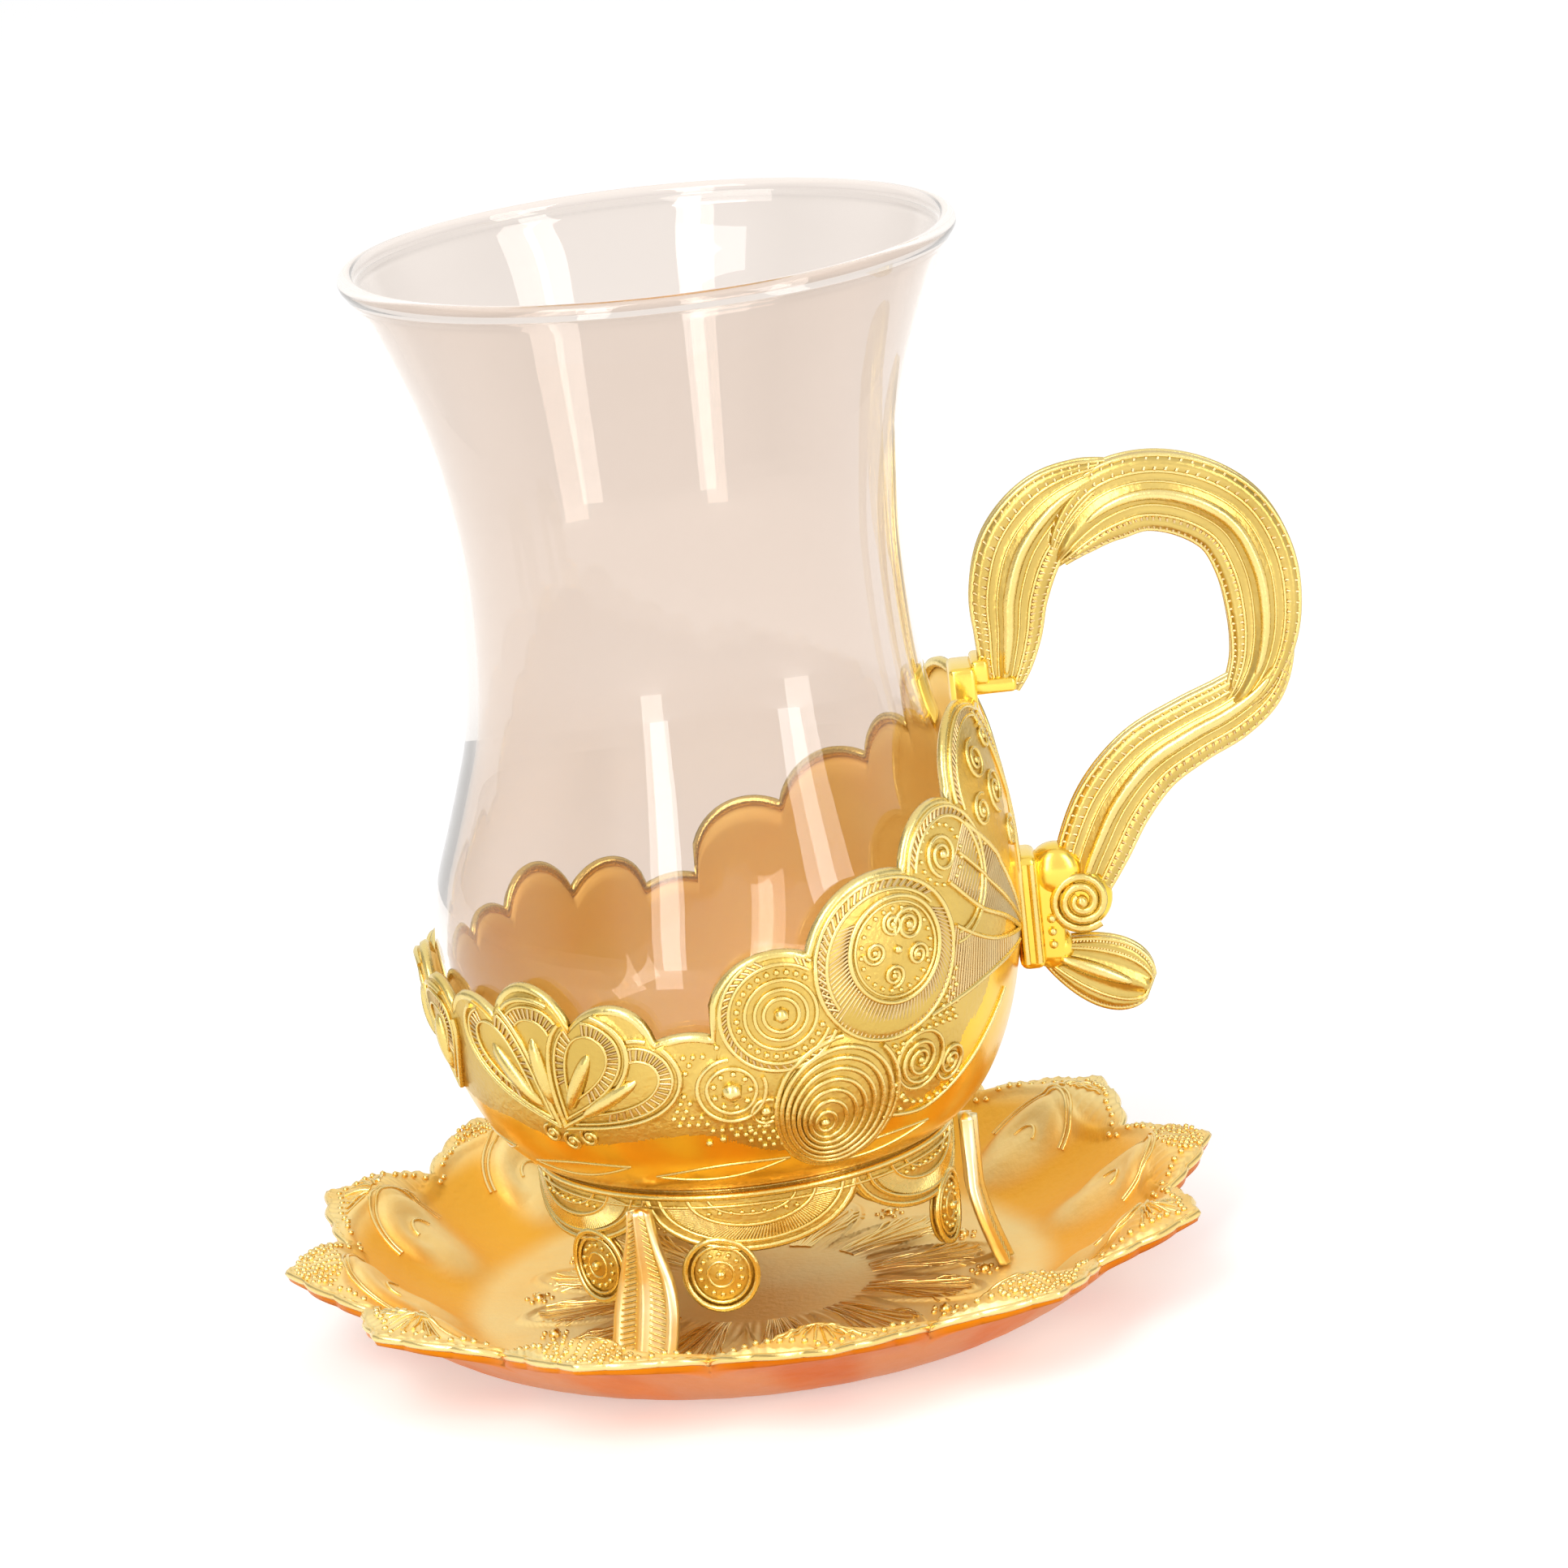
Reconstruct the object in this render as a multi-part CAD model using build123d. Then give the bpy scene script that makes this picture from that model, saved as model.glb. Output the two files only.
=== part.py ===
from build123d import *
from math import cos, radians, sin
import os

# A waisted tea glass in a gilt cast holder with a scrolled handle, standing on a gilt wavy saucer.
# Millimetres, +Z up. The origin is the middle of the saucer's flat underside, on the glass's axis.
# The handle points along +X, and everything is the same on both sides of the XZ plane.

# ---------------------------------------------------------------- driving dimensions

SEAT_GAP = 0.5                # running room between the glass and the cup around it

# saucer
SAUCER_SHEET = 1.5            # thickness of the cast sheet
SAUCER_FLOOR_ROOM = 1.4       # flat floor left outside the legs' toes
SAUCER_WALL_RUN = 15.0        # from the flat floor out to where the wall turns into the rim
SAUCER_WALL_RISE = 8.1
SAUCER_HEEL_RUN = 8.2         # the point where the wall's curve is at its roundest
SAUCER_HEEL_RISE = 2.9
SAUCER_RIM_RUN = 6.6          # from the turn out to the tips of the rim's lobes
SAUCER_RIM_RISE = 1.7
SAUCER_LOBES = 12
SAUCER_LOBE_TURN = 7.0        # degrees from the handle to the first lobe
SAUCER_LOBE_REACH = 7.6       # from a lobe's middle out to its tip
SAUCER_LOBE_HALF_WIDTH = 13.0
SAUCER_LINE_STATIONS = 12     # points that carry the underside's line along the upper one

# holder: gallery with festoons, and its three legs
FOOT_HEIGHT = 17.8            # from the saucer's floor to the underside of the cup
FOOT_TOP_RADIUS = 21.8
FOOT_HEM_RADIUS = 22.3
FOOT_WALL = 1.3
FOOT_FLANGE_INNER_RADIUS = 15.5
FOOT_FLANGE = 1.5
FESTOON_DROP = 6.2            # how far each festoon hangs below the cup
SCROLL_RADIUS = 4.0           # the scroll lobes beside each leg
SCROLL_TURN = 19.5            # degrees from the leg to a scroll's middle
SCROLL_DROP = 8.8             # from the cup down to a scroll's middle
LEG_COUNT = 3
LEG_THICKNESS = 1.7
LEG_PAD_PROUD = 0.4           # how far the pads that carry the legs stand out
LEG_FLARE = 2.6               # how far the toe stands out from the pad
LEG_TOE_WIDTH = 7.1
LEG_KNEE_WIDTH = 5.7
LEG_TOP_WIDTH = 3.0
LEG_TOP_ROOM = 1.0            # from the cup's underside to the top of a leg
LEG_KNEE_HEIGHT = 9.2         # over the saucer's floor, where the leg starts to flare
LEG_TOE_LEAN = 1.6            # how much flatter the toe runs than a straight flare would
LEG_RIB_WIDTH = 1.3
LEG_RIB_HEIGHT = 0.6

# holder: cup
CUP_WALL = 1.4
CUP_BOTTOM_RADIUS = 20.0      # the flat under the cup
CUP_BELLY_LIFT = 2.0          # how far the cup's widest ring is above the glass's
CUP_TOP_RISE = 22.8           # from that ring up to the end of the tall side
CUP_TOP_ROOM = 2.4            # room round the glass's neck at the end of the tall side
RELIEF = 0.5                  # how far the medallions stand proud of the wall
LOW_EDGE = 16.4               # height of the wall between the low lobes, over the underside
SLOPE_START_X = -4.0          # where the edge starts to climb towards the handle
SLOPE_RISE = 0.85             # millimetres up for each millimetre towards the handle

# glass
BELLY_RADIUS = 30.2
BELLY_HEIGHT = 22.3           # from the foot of the glass to its widest ring
FOOT_RADIUS = 14.0
WAIST_RADIUS = 23.4
WAIST_HEIGHT = 57.3
RIM_RADIUS = 32.0
GLASS_HEIGHT = 94.7
GLASS_WALL = 1.3
GLASS_BOTTOM = 3.2
LIP_RADIUS = 0.9
MOUTH_SLOPE = (0.42, 1)       # how the wall runs where it meets the lip
NECK_STEPS = ((0.40, 0.345), (0.84, 0.63))    # shares of the way in and up, belly to waist
MOUTH_STEPS = ((0.10, 0.33), (0.37, 0.61))    # shares of the way out and up, waist to lip
GLASS_LINE_STATIONS = 24      # points that carry the inside's line along the outside

# handle
HANDLE_DEPTH = 5.4            # across the handle, along Y
HANDLE_PAD_REACH = 1.6        # how far the cup's pad stands out from the belly
HANDLE_PAD_WIDTH = 6.4
HANDLE_BOSS_WIDTH = 5.2
HANDLE_BOSS_HEIGHT = 10.0
SCROLL_END_RADIUS = 3.5
SCROLL_PROUD = 0.6            # how much wider the scroll is than the bar
STRAP_WIDTH = 6.0             # the strap that stands on the cup's top edge and holds the handle
STRAP_LOW = 42.5              # its ends, over the cup's underside
STRAP_TOP = 47.9
STRAP_THICKNESS = 2.7
ARM_HEIGHT = 1.6              # the arm that joins the bar's start to the strap
ARM_DROP = 0.4                # how far the arm's underside lies below the bar's start
PETAL_THICKNESS = 4.2
PETAL_EDGE = 1.25             # rounding of the small leaf's edges

# ---------------------------------------------------------------- heights and radii that follow

saucer_floor = SAUCER_SHEET
cup_bottom = saucer_floor + FOOT_HEIGHT
cup_floor = cup_bottom + CUP_WALL
glass_rim = cup_floor + GLASS_HEIGHT
belly_z = cup_floor + BELLY_HEIGHT
waist_z = cup_floor + WAIST_HEIGHT
glass_mouth = (RIM_RADIUS - LIP_RADIUS + GLASS_WALL / 2, glass_rim - LIP_RADIUS)
cup_belly_radius = BELLY_RADIUS + SEAT_GAP + CUP_WALL
cup_belly_z = belly_z + CUP_BELLY_LIFT
cup_top_z = cup_belly_z + CUP_TOP_RISE
pad_face_x = cup_belly_radius + HANDLE_PAD_REACH
leg_turn = 360 / LEG_COUNT
leg_seat_x = FOOT_HEM_RADIUS + LEG_PAD_PROUD
leg_reach = leg_seat_x + LEG_FLARE + LEG_THICKNESS + LEG_RIB_HEIGHT
saucer_floor_radius = leg_reach + SAUCER_FLOOR_ROOM
saucer_wall_radius = saucer_floor_radius + SAUCER_WALL_RUN
saucer_tip_radius = saucer_wall_radius + SAUCER_RIM_RUN
saucer_top = saucer_floor + SAUCER_WALL_RISE + SAUCER_RIM_RISE

# The cup's edge: lobes as (degrees from the handle, height of the middle over the cup's
# underside, half width, half height, degrees that the lobe leans away from the handle).
EDGE_LOBES = (
    (20.0, 37.6, 8.6, 8.6, 0),        # top petal beside the handle's strap
    (41.0, 31.0, 6.6, 7.6, 0),        # second leaf
    (58.5, 24.6, 9.0, 8.9, 0),        # large rosette
    (81.0, 21.2, 6.9, 6.4, 0),        # small spiral
    (103.0, 14.0, 5.0, 7.6, -58),     # fan, first petal
    (115.5, 16.8, 5.0, 6.6, -31),     # fan, second petal
    (131.0, 18.3, 5.2, 6.6, 7),       # fan, middle petal
    (145.5, 16.6, 5.0, 6.6, 38),      # fan, fourth petal
    (163.0, 16.6, 5.0, 6.2, 0),       # low lobe
)
BACK_LOBE = (180.0, 17.6, 5.2, 6.2, 0)

# Raised medallions on the wall: (degrees, height over the cup's underside, radius).
MEDALLIONS = (
    (58.5, 24.6, 8.3),                # large rosette
    (81.0, 22.6, 4.4),                # small spiral
    (70.0, 9.8, 7.0),                 # ringed spiral
    (48.0, 11.7, 3.4),                # pair of coils
    (92.0, 13.8, 4.0),                # flower
)

# The handle's middle line, from the strap to the scroll: millimetres out from the cup's pad,
# height over the cup's underside, and the bar's width there in the XZ plane.
HANDLE_LINE = (
    (-1.6, 45.0, 4.0),
    (-0.7, 49.3, 6.4),
    (-0.3, 54.7, 8.2),
    (1.9, 60.1, 9.0),
    (7.3, 63.9, 9.0),
    (13.9, 64.0, 7.4),
    (20.1, 63.1, 8.4),
    (24.6, 59.3, 8.8),
    (26.3, 53.3, 8.4),
    (25.5, 46.6, 7.0),
    (22.7, 41.7, 6.0),
    (17.4, 38.3, 6.8),
    (11.9, 35.0, 7.4),
    (8.1, 30.9, 8.0),
    (5.7, 26.1, 7.6),
    (4.3, 21.9, 5.6),
)
SCROLL_END = (4.2, 21.3)              # middle of the scroll at the handle's lower end
PETAL_MIDDLE = (5.5, 13.0)            # the small leaf below the scroll
PETAL_HALF_LENGTH = 5.4
PETAL_HALF_WIDTH = 3.9
PETAL_TILT = -21.0


# ---------------------------------------------------------------- shared shapes

def turned(*edges):
    """A solid of revolution about the glass's axis, from edges that close a section."""
    return revolve(Face(Wire(edges)), Axis.Z)


def line(start, end):
    return Edge.make_line((start[0], 0, start[1]), (end[0], 0, end[1]))


def curve(points, tangents=None):
    """A smooth curve in the XZ plane through (radius, height) points."""
    ends = [(x, 0, z) for x, z in tangents] if tangents else None
    return Edge.make_spline([(r, 0, z) for r, z in points], tangents=ends)


def parallel(edge, distance, stations):
    """(radius, height) points at a fixed distance on the left of an edge."""
    points = []
    for i in range(stations + 1):
        here = edge @ (i / stations)
        along = edge % (i / stations)
        points.append((here.X - along.Z * distance, here.Z + along.X * distance))
    return points


def radius_at(edge, height):
    """The radius where a rising edge passes a height."""
    low, high = 0.0, 1.0
    for _ in range(30):
        middle = (low + high) / 2
        if (edge @ middle).Z < height:
            low = middle
        else:
            high = middle
    return (edge @ low).X


def quarter_round(inner, outer, bottom, top):
    """A quarter of an ellipse that leaves a flat bottom level and arrives upright."""
    middle = Plane(origin=(inner, 0, top), x_dir=(1, 0, 0), z_dir=(0, -1, 0))
    return Edge.make_ellipse(outer - inner, top - bottom, middle, start_angle=-90, end_angle=0)


def facing_out(angle, height):
    """A plane on the axis that looks straight out at an angle, its own Y axis up."""
    out = (cos(radians(angle)), sin(radians(angle)), 0)
    across = (-sin(radians(angle)), cos(radians(angle)), 0)
    return Plane(origin=(0, 0, height), x_dir=across, z_dir=out)


def spoke(angle, height, shape, start=0, lean=0):
    """A flat shape carried straight out from a distance off the axis, to cut a wall with."""
    reach = 2 * cup_belly_radius
    return extrude(facing_out(angle, height) * Pos(0, 0, start) * Rot(0, 0, lean) * shape, amount=reach)


def box_between(low, high):
    sizes = [b - a for a, b in zip(low, high)]
    middle = [(a + b) / 2 for a, b in zip(low, high)]
    return Pos(*middle) * Box(*sizes)


# ---------------------------------------------------------------- the glass's outside line

def glass_side():
    """From the belly through the waist to the mouth, one easy S-curve."""
    shrink = BELLY_RADIUS - WAIST_RADIUS
    widen = glass_mouth[0] - WAIST_RADIUS
    neck_rise = waist_z - belly_z
    mouth_rise = glass_mouth[1] - waist_z
    points = [(BELLY_RADIUS, belly_z)]
    for part_way_in, part_way_up in NECK_STEPS:
        points.append((BELLY_RADIUS - part_way_in * shrink, belly_z + part_way_up * neck_rise))
    points.append((WAIST_RADIUS, waist_z))
    for part_way_out, part_way_up in MOUTH_STEPS:
        points.append((WAIST_RADIUS + part_way_out * widen, waist_z + part_way_up * mouth_rise))
    points.append(glass_mouth)
    return curve(points, ((0, 1), MOUTH_SLOPE))


# ---------------------------------------------------------------- saucer

def saucer():
    """A cast sheet with a flat floor, a curved wall and a flared rim cut into lobes."""
    trim = SAUCER_SHEET / 2       # spare metal that the lobed outline cuts off
    floor_edge = (saucer_floor_radius, saucer_floor)
    heel = (saucer_floor_radius + SAUCER_HEEL_RUN, saucer_floor + SAUCER_HEEL_RISE)
    turn_out = (saucer_wall_radius, saucer_floor + SAUCER_WALL_RISE)
    rim = (saucer_tip_radius + trim, saucer_top)
    ends = ((1, 0), (SAUCER_RIM_RUN, SAUCER_RIM_RISE))
    upper = curve((floor_edge, heel, turn_out, rim), ends)
    lower_points = parallel(upper, -SAUCER_SHEET, SAUCER_LINE_STATIONS)
    lower = curve(lower_points, ends)
    sheet = turned(
        line((0, 0), (0, saucer_floor)),
        line((0, saucer_floor), floor_edge),
        upper,
        line(rim, lower_points[-1]),
        lower,
        line(lower_points[0], (0, 0)),
    )
    outline = Circle(saucer_wall_radius)
    for k in range(SAUCER_LOBES):
        turn = SAUCER_LOBE_TURN + 360 * k / SAUCER_LOBES
        lobe = Ellipse(SAUCER_LOBE_REACH, SAUCER_LOBE_HALF_WIDTH)
        outline += Rot(0, 0, turn) * Pos(saucer_tip_radius - SAUCER_LOBE_REACH, 0) * lobe
    return sheet & extrude(outline, amount=2 * saucer_top)


# ---------------------------------------------------------------- gallery under the cup

def gallery():
    """A short round wall under the cup, cut below into festoons and scroll lobes."""
    hem = saucer_floor
    top = cup_bottom
    wall = turned(
        line((FOOT_FLANGE_INNER_RADIUS, top - FOOT_FLANGE), (FOOT_FLANGE_INNER_RADIUS, top)),
        line((FOOT_FLANGE_INNER_RADIUS, top), (FOOT_TOP_RADIUS, top)),
        line((FOOT_TOP_RADIUS, top), (FOOT_HEM_RADIUS, hem)),
        line((FOOT_HEM_RADIUS, hem), (FOOT_HEM_RADIUS - FOOT_WALL, hem)),
        line((FOOT_HEM_RADIUS - FOOT_WALL, hem), (FOOT_TOP_RADIUS - FOOT_WALL, top - FOOT_FLANGE)),
        line((FOOT_TOP_RADIUS - FOOT_WALL, top - FOOT_FLANGE),
             (FOOT_FLANGE_INNER_RADIUS, top - FOOT_FLANGE)),
    )
    kept = Pos(0, 0, top - FOOT_FLANGE / 2) * Cylinder(2 * FOOT_HEM_RADIUS, FOOT_FLANGE)
    festoon_half_width = FOOT_HEM_RADIUS * sin(radians(leg_turn / 4))
    clear_of_axis = FOOT_FLANGE_INNER_RADIUS / 2
    for k in range(2 * LEG_COUNT):
        middle = leg_turn / 4 + k * leg_turn / 2
        kept += spoke(middle, top, Ellipse(festoon_half_width, FESTOON_DROP), clear_of_axis)
    for k in range(LEG_COUNT):
        for side in (-1, 1):
            turn = k * leg_turn + side * SCROLL_TURN
            kept += spoke(turn, top - SCROLL_DROP, Circle(SCROLL_RADIUS), clear_of_axis)
    ring = wall & kept
    pad_low = top - FOOT_FLANGE - FESTOON_DROP / 2
    for k in range(LEG_COUNT):
        pad = box_between(
            (FOOT_TOP_RADIUS - FOOT_WALL, -LEG_TOP_WIDTH / 2, pad_low),
            (leg_seat_x, LEG_TOP_WIDTH / 2, top - LEG_TOP_ROOM),
        )
        ring += Rot(0, 0, k * leg_turn) * pad
    return ring


# ---------------------------------------------------------------- legs

def leg(turn):
    """A leaf blade with a raised midrib, soldered flat to its pad and flared at the toe."""
    top = cup_bottom - LEG_TOP_ROOM
    knee = saucer_floor + LEG_KNEE_HEIGHT
    toe = leg_seat_x + LEG_FLARE

    def flare(thickness):
        start = (leg_seat_x + thickness, knee)
        end = (toe + thickness, saucer_floor)
        return curve((start, end), ((0, -1), (LEG_FLARE * LEG_TOE_LEAN, -LEG_KNEE_HEIGHT)))

    def slab(thickness, width):
        section = Face(Wire([
            line((leg_seat_x, top), (leg_seat_x, knee)),
            flare(0),
            line((toe, saucer_floor), (toe + thickness, saucer_floor)),
            flare(thickness),
            line((leg_seat_x + thickness, knee), (leg_seat_x + thickness, top)),
            line((leg_seat_x + thickness, top), (leg_seat_x, top)),
        ]))
        return extrude(section, amount=width / 2, dir=(0, 1, 0), both=True)

    half_top = LEG_TOP_WIDTH / 2
    half_toe = LEG_TOE_WIDTH / 2
    side = Spline((half_top, top), (LEG_KNEE_WIDTH / 2, knee), (half_toe, saucer_floor))
    outline = make_face([
        side,
        Line((half_toe, saucer_floor), (-half_toe, saucer_floor)),
        mirror(side, Plane.YZ),
        Line((-half_top, top), (half_top, top)),
    ])
    blade = slab(LEG_THICKNESS, LEG_TOE_WIDTH) & spoke(0, 0, outline)
    blade += slab(LEG_THICKNESS + LEG_RIB_HEIGHT, LEG_RIB_WIDTH)
    return Rot(0, 0, turn) * blade


# ---------------------------------------------------------------- cup

def cup_section(grow):
    """Outside line of the cup, moved out by a distance: round to its widest ring, then leaning
    in towards the glass's neck."""
    low = quarter_round(CUP_BOTTOM_RADIUS, cup_belly_radius + grow, cup_bottom - grow, cup_belly_z)
    neck = radius_at(glass_side(), cup_top_z) + CUP_TOP_ROOM + CUP_WALL
    top = (neck + grow, cup_top_z)
    slope = 2 * (top[0] - cup_belly_radius - grow) / CUP_TOP_RISE
    high = curve(((cup_belly_radius + grow, cup_belly_z), top), ((0, 1), (slope, 1)))
    return low, high, top


def cup_shell(inner_grow, outer_grow, floor):
    """The wall between two lines of the cup, with or without its floor."""
    outer_low, outer_high, outer_top = cup_section(outer_grow)
    inner_low, inner_high, inner_top = cup_section(inner_grow)
    outer_z = cup_bottom - outer_grow
    inner_z = cup_bottom - inner_grow
    hub = 0 if floor else CUP_BOTTOM_RADIUS
    edges = [outer_low, outer_high, line(outer_top, inner_top), inner_high, inner_low]
    if floor:
        edges += [
            line((CUP_BOTTOM_RADIUS, inner_z), (hub, inner_z)),
            line((hub, inner_z), (hub, outer_z)),
            line((hub, outer_z), (CUP_BOTTOM_RADIUS, outer_z)),
        ]
    else:
        edges.append(line((hub, inner_z), (hub, outer_z)))
    return turned(*edges)


def strap_face_x():
    """Where the strap's flat face stands: flush with the wall at the arm's underside."""
    high = cup_section(0)[1]
    return radius_at(high, cup_bottom + HANDLE_LINE[0][1] - ARM_DROP)


def cup_edge():
    """Everything under the cup's lobed edge, which climbs towards the handle."""
    reach = 2 * cup_belly_radius
    low = cup_bottom + LOW_EDGE
    low_part = Pos(0, 0, low / 2) * Cylinder(reach, low)
    climb = Polyline(
        (SLOPE_START_X, 0), (SLOPE_START_X, low), (reach, low + SLOPE_RISE * (reach - SLOPE_START_X)),
        (reach, 0), close=True,
    )
    kept = low_part + extrude(Plane.XZ * make_face(climb), amount=reach, both=True)
    lobes = [BACK_LOBE]
    for angle, height, half_width, half_height, lean in EDGE_LOBES:
        lobes.append((angle, height, half_width, half_height, lean))
        lobes.append((-angle, height, half_width, half_height, -lean))
    for angle, height, half_width, half_height, lean in lobes:
        lobe = Ellipse(half_width, half_height)
        kept += spoke(angle, cup_bottom + height, lobe, lean=lean)
    return kept


def cup():
    """The cast cup: a closed floor, a belly that follows the glass, a tall side with a pad and a
    strap for the handle, and medallions that stand proud of the wall."""
    body = cup_shell(-CUP_WALL, 0, True) & cup_edge()
    medallions = None
    for angle, height, radius in MEDALLIONS:
        for side in (-1, 1):
            disc = spoke(side * angle, cup_bottom + height, Circle(radius))
            medallions = disc if medallions is None else medallions + disc
    body += cup_shell(-CUP_WALL / 2, RELIEF, False) & medallions
    boss_low = cup_bottom + SCROLL_END[1] - HANDLE_BOSS_HEIGHT / 2
    margin = (HANDLE_PAD_WIDTH - HANDLE_BOSS_WIDTH) / 2
    pad = box_between(
        (cup_belly_radius - CUP_WALL, -HANDLE_PAD_WIDTH / 2, boss_low - margin),
        (pad_face_x, HANDLE_PAD_WIDTH / 2, boss_low + HANDLE_BOSS_HEIGHT + margin),
    )
    body += pad
    strap = box_between(
        (strap_face_x() - STRAP_THICKNESS, -STRAP_WIDTH / 2, cup_bottom + STRAP_LOW),
        (strap_face_x(), STRAP_WIDTH / 2, cup_bottom + STRAP_TOP),
    )
    return body + strap


# ---------------------------------------------------------------- handle

def handle():
    """One casting: a bar of changing width in an open loop, a scroll and a small leaf below it,
    and an arm that reaches the strap."""
    stations = [(pad_face_x + out, cup_bottom + up, width) for out, up, width in HANDLE_LINE]
    sections = []
    last = len(stations) - 1
    for i, (x, z, width) in enumerate(stations):
        before = stations[max(i - 1, 0)]
        after = stations[min(i + 1, last)]
        along = (after[0] - before[0], 0, after[1] - before[1])
        place = Plane(origin=(x, 0, z), x_dir=(0, 1, 0), z_dir=along)
        sections.append(place * Ellipse(HANDLE_DEPTH / 2, width / 2))
    bar = loft(sections)
    scroll_x = pad_face_x + SCROLL_END[0]
    scroll_z = cup_bottom + SCROLL_END[1]
    scroll = Pos(scroll_x, 0, scroll_z) * Rot(90, 0, 0) * Cylinder(
        SCROLL_END_RADIUS, HANDLE_DEPTH + SCROLL_PROUD)
    boss_low = scroll_z - HANDLE_BOSS_HEIGHT / 2
    boss = box_between(
        (pad_face_x, -HANDLE_BOSS_WIDTH / 2, boss_low),
        (scroll_x, HANDLE_BOSS_WIDTH / 2, boss_low + HANDLE_BOSS_HEIGHT),
    )
    petal_middle = Pos(pad_face_x + PETAL_MIDDLE[0], cup_bottom + PETAL_MIDDLE[1])
    petal_shape = petal_middle * Rot(0, 0, PETAL_TILT) * Ellipse(
        PETAL_HALF_LENGTH, PETAL_HALF_WIDTH)
    petal = extrude(Plane.XZ * petal_shape, amount=PETAL_THICKNESS / 2, both=True)
    petal = fillet(petal.edges(), PETAL_EDGE)
    start_x, start_z, start_width = stations[0]
    arm = box_between(
        (strap_face_x(), -start_width / 2, start_z - ARM_DROP),
        (start_x, start_width / 2, start_z - ARM_DROP + ARM_HEIGHT),
    )
    return bar + scroll + boss + petal + arm


# ---------------------------------------------------------------- glass

def glass():
    """A thin blown tulip glass: round belly, narrow waist, flared mouth with a fire-rounded lip."""
    side = glass_side()
    inner_points = parallel(side, GLASS_WALL, GLASS_LINE_STATIONS)
    inner_side = curve(inner_points, ((0, 1), MOUTH_SLOPE))
    inside = cup_floor + GLASS_BOTTOM
    body = turned(
        line((0, cup_floor), (FOOT_RADIUS, cup_floor)),
        quarter_round(FOOT_RADIUS, BELLY_RADIUS, cup_floor, belly_z),
        side,
        line(glass_mouth, inner_points[-1]),
        inner_side,
        quarter_round(FOOT_RADIUS, BELLY_RADIUS - GLASS_WALL, inside, belly_z),
        line((FOOT_RADIUS, inside), (0, inside)),
        line((0, inside), (0, cup_floor)),
    )
    return body + Pos(0, 0, glass_mouth[1]) * Torus(RIM_RADIUS - LIP_RADIUS, LIP_RADIUS)


# ---------------------------------------------------------------- files

pieces = {
    "saucer": saucer(),
    "foot_gallery": gallery(),
    "holder_cup": cup(),
    "handle": handle(),
    "tea_glass": glass(),
}
for k in range(LEG_COUNT):
    pieces[f"leg_{k + 1}"] = leg(k * leg_turn)

os.makedirs("parts", exist_ok=True)
for name, shape in pieces.items():
    export_step(shape, f"parts/{name}.step")
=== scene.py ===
import bmesh
import bpy
from bisect import bisect_right
from math import acos, atan2, cos, degrees, exp, hypot, log, pi, radians, sin, sqrt
from mathutils import Matrix, Vector


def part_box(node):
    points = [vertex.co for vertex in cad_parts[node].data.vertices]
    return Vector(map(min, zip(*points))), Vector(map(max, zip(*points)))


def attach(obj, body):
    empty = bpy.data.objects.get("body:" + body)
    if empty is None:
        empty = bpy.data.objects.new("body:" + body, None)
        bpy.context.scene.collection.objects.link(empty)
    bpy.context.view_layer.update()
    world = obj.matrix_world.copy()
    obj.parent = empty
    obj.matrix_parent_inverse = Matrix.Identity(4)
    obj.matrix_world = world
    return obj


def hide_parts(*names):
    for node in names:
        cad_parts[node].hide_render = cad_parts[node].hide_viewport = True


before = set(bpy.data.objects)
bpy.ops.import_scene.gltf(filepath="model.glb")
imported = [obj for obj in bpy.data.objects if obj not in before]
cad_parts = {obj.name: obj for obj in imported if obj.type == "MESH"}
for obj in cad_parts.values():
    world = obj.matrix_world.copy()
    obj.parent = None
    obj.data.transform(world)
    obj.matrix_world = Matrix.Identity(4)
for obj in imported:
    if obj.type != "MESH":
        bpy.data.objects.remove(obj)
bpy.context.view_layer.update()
scene = bpy.context.scene


# ---------------------------------------------------------------- saucer
# A thin zinc casting, gilded all over. Its floor is pressed with shell fans, its wall is folded
# like cloth into twelve petals, and its scalloped rim is combed and beaded in the mould.

MM = 0.001
saucer_low, saucer_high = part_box("saucer")
SAUCER_TIP = saucer_high.y / MM - 0.6
SAUCER_NOTCH = SAUCER_TIP - 6.2
SAUCER_SHEET = 1.5
SAUCER_FLOOR_RADIUS = 29.0
SAUCER_WALL_RUN = 15.0
SAUCER_WALL_RISE = 8.1
SAUCER_RIM_SLOPE = 0.24
SAUCER_TURN = 7.0
LOBES = 12
LOBE_SPAN = 360 / LOBES
SCALLOPS = 5
FOLD_DEPTH = 2.0
RIM_SOFTNESS = 0.5
CURL_RADIUS = 38.2


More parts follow.
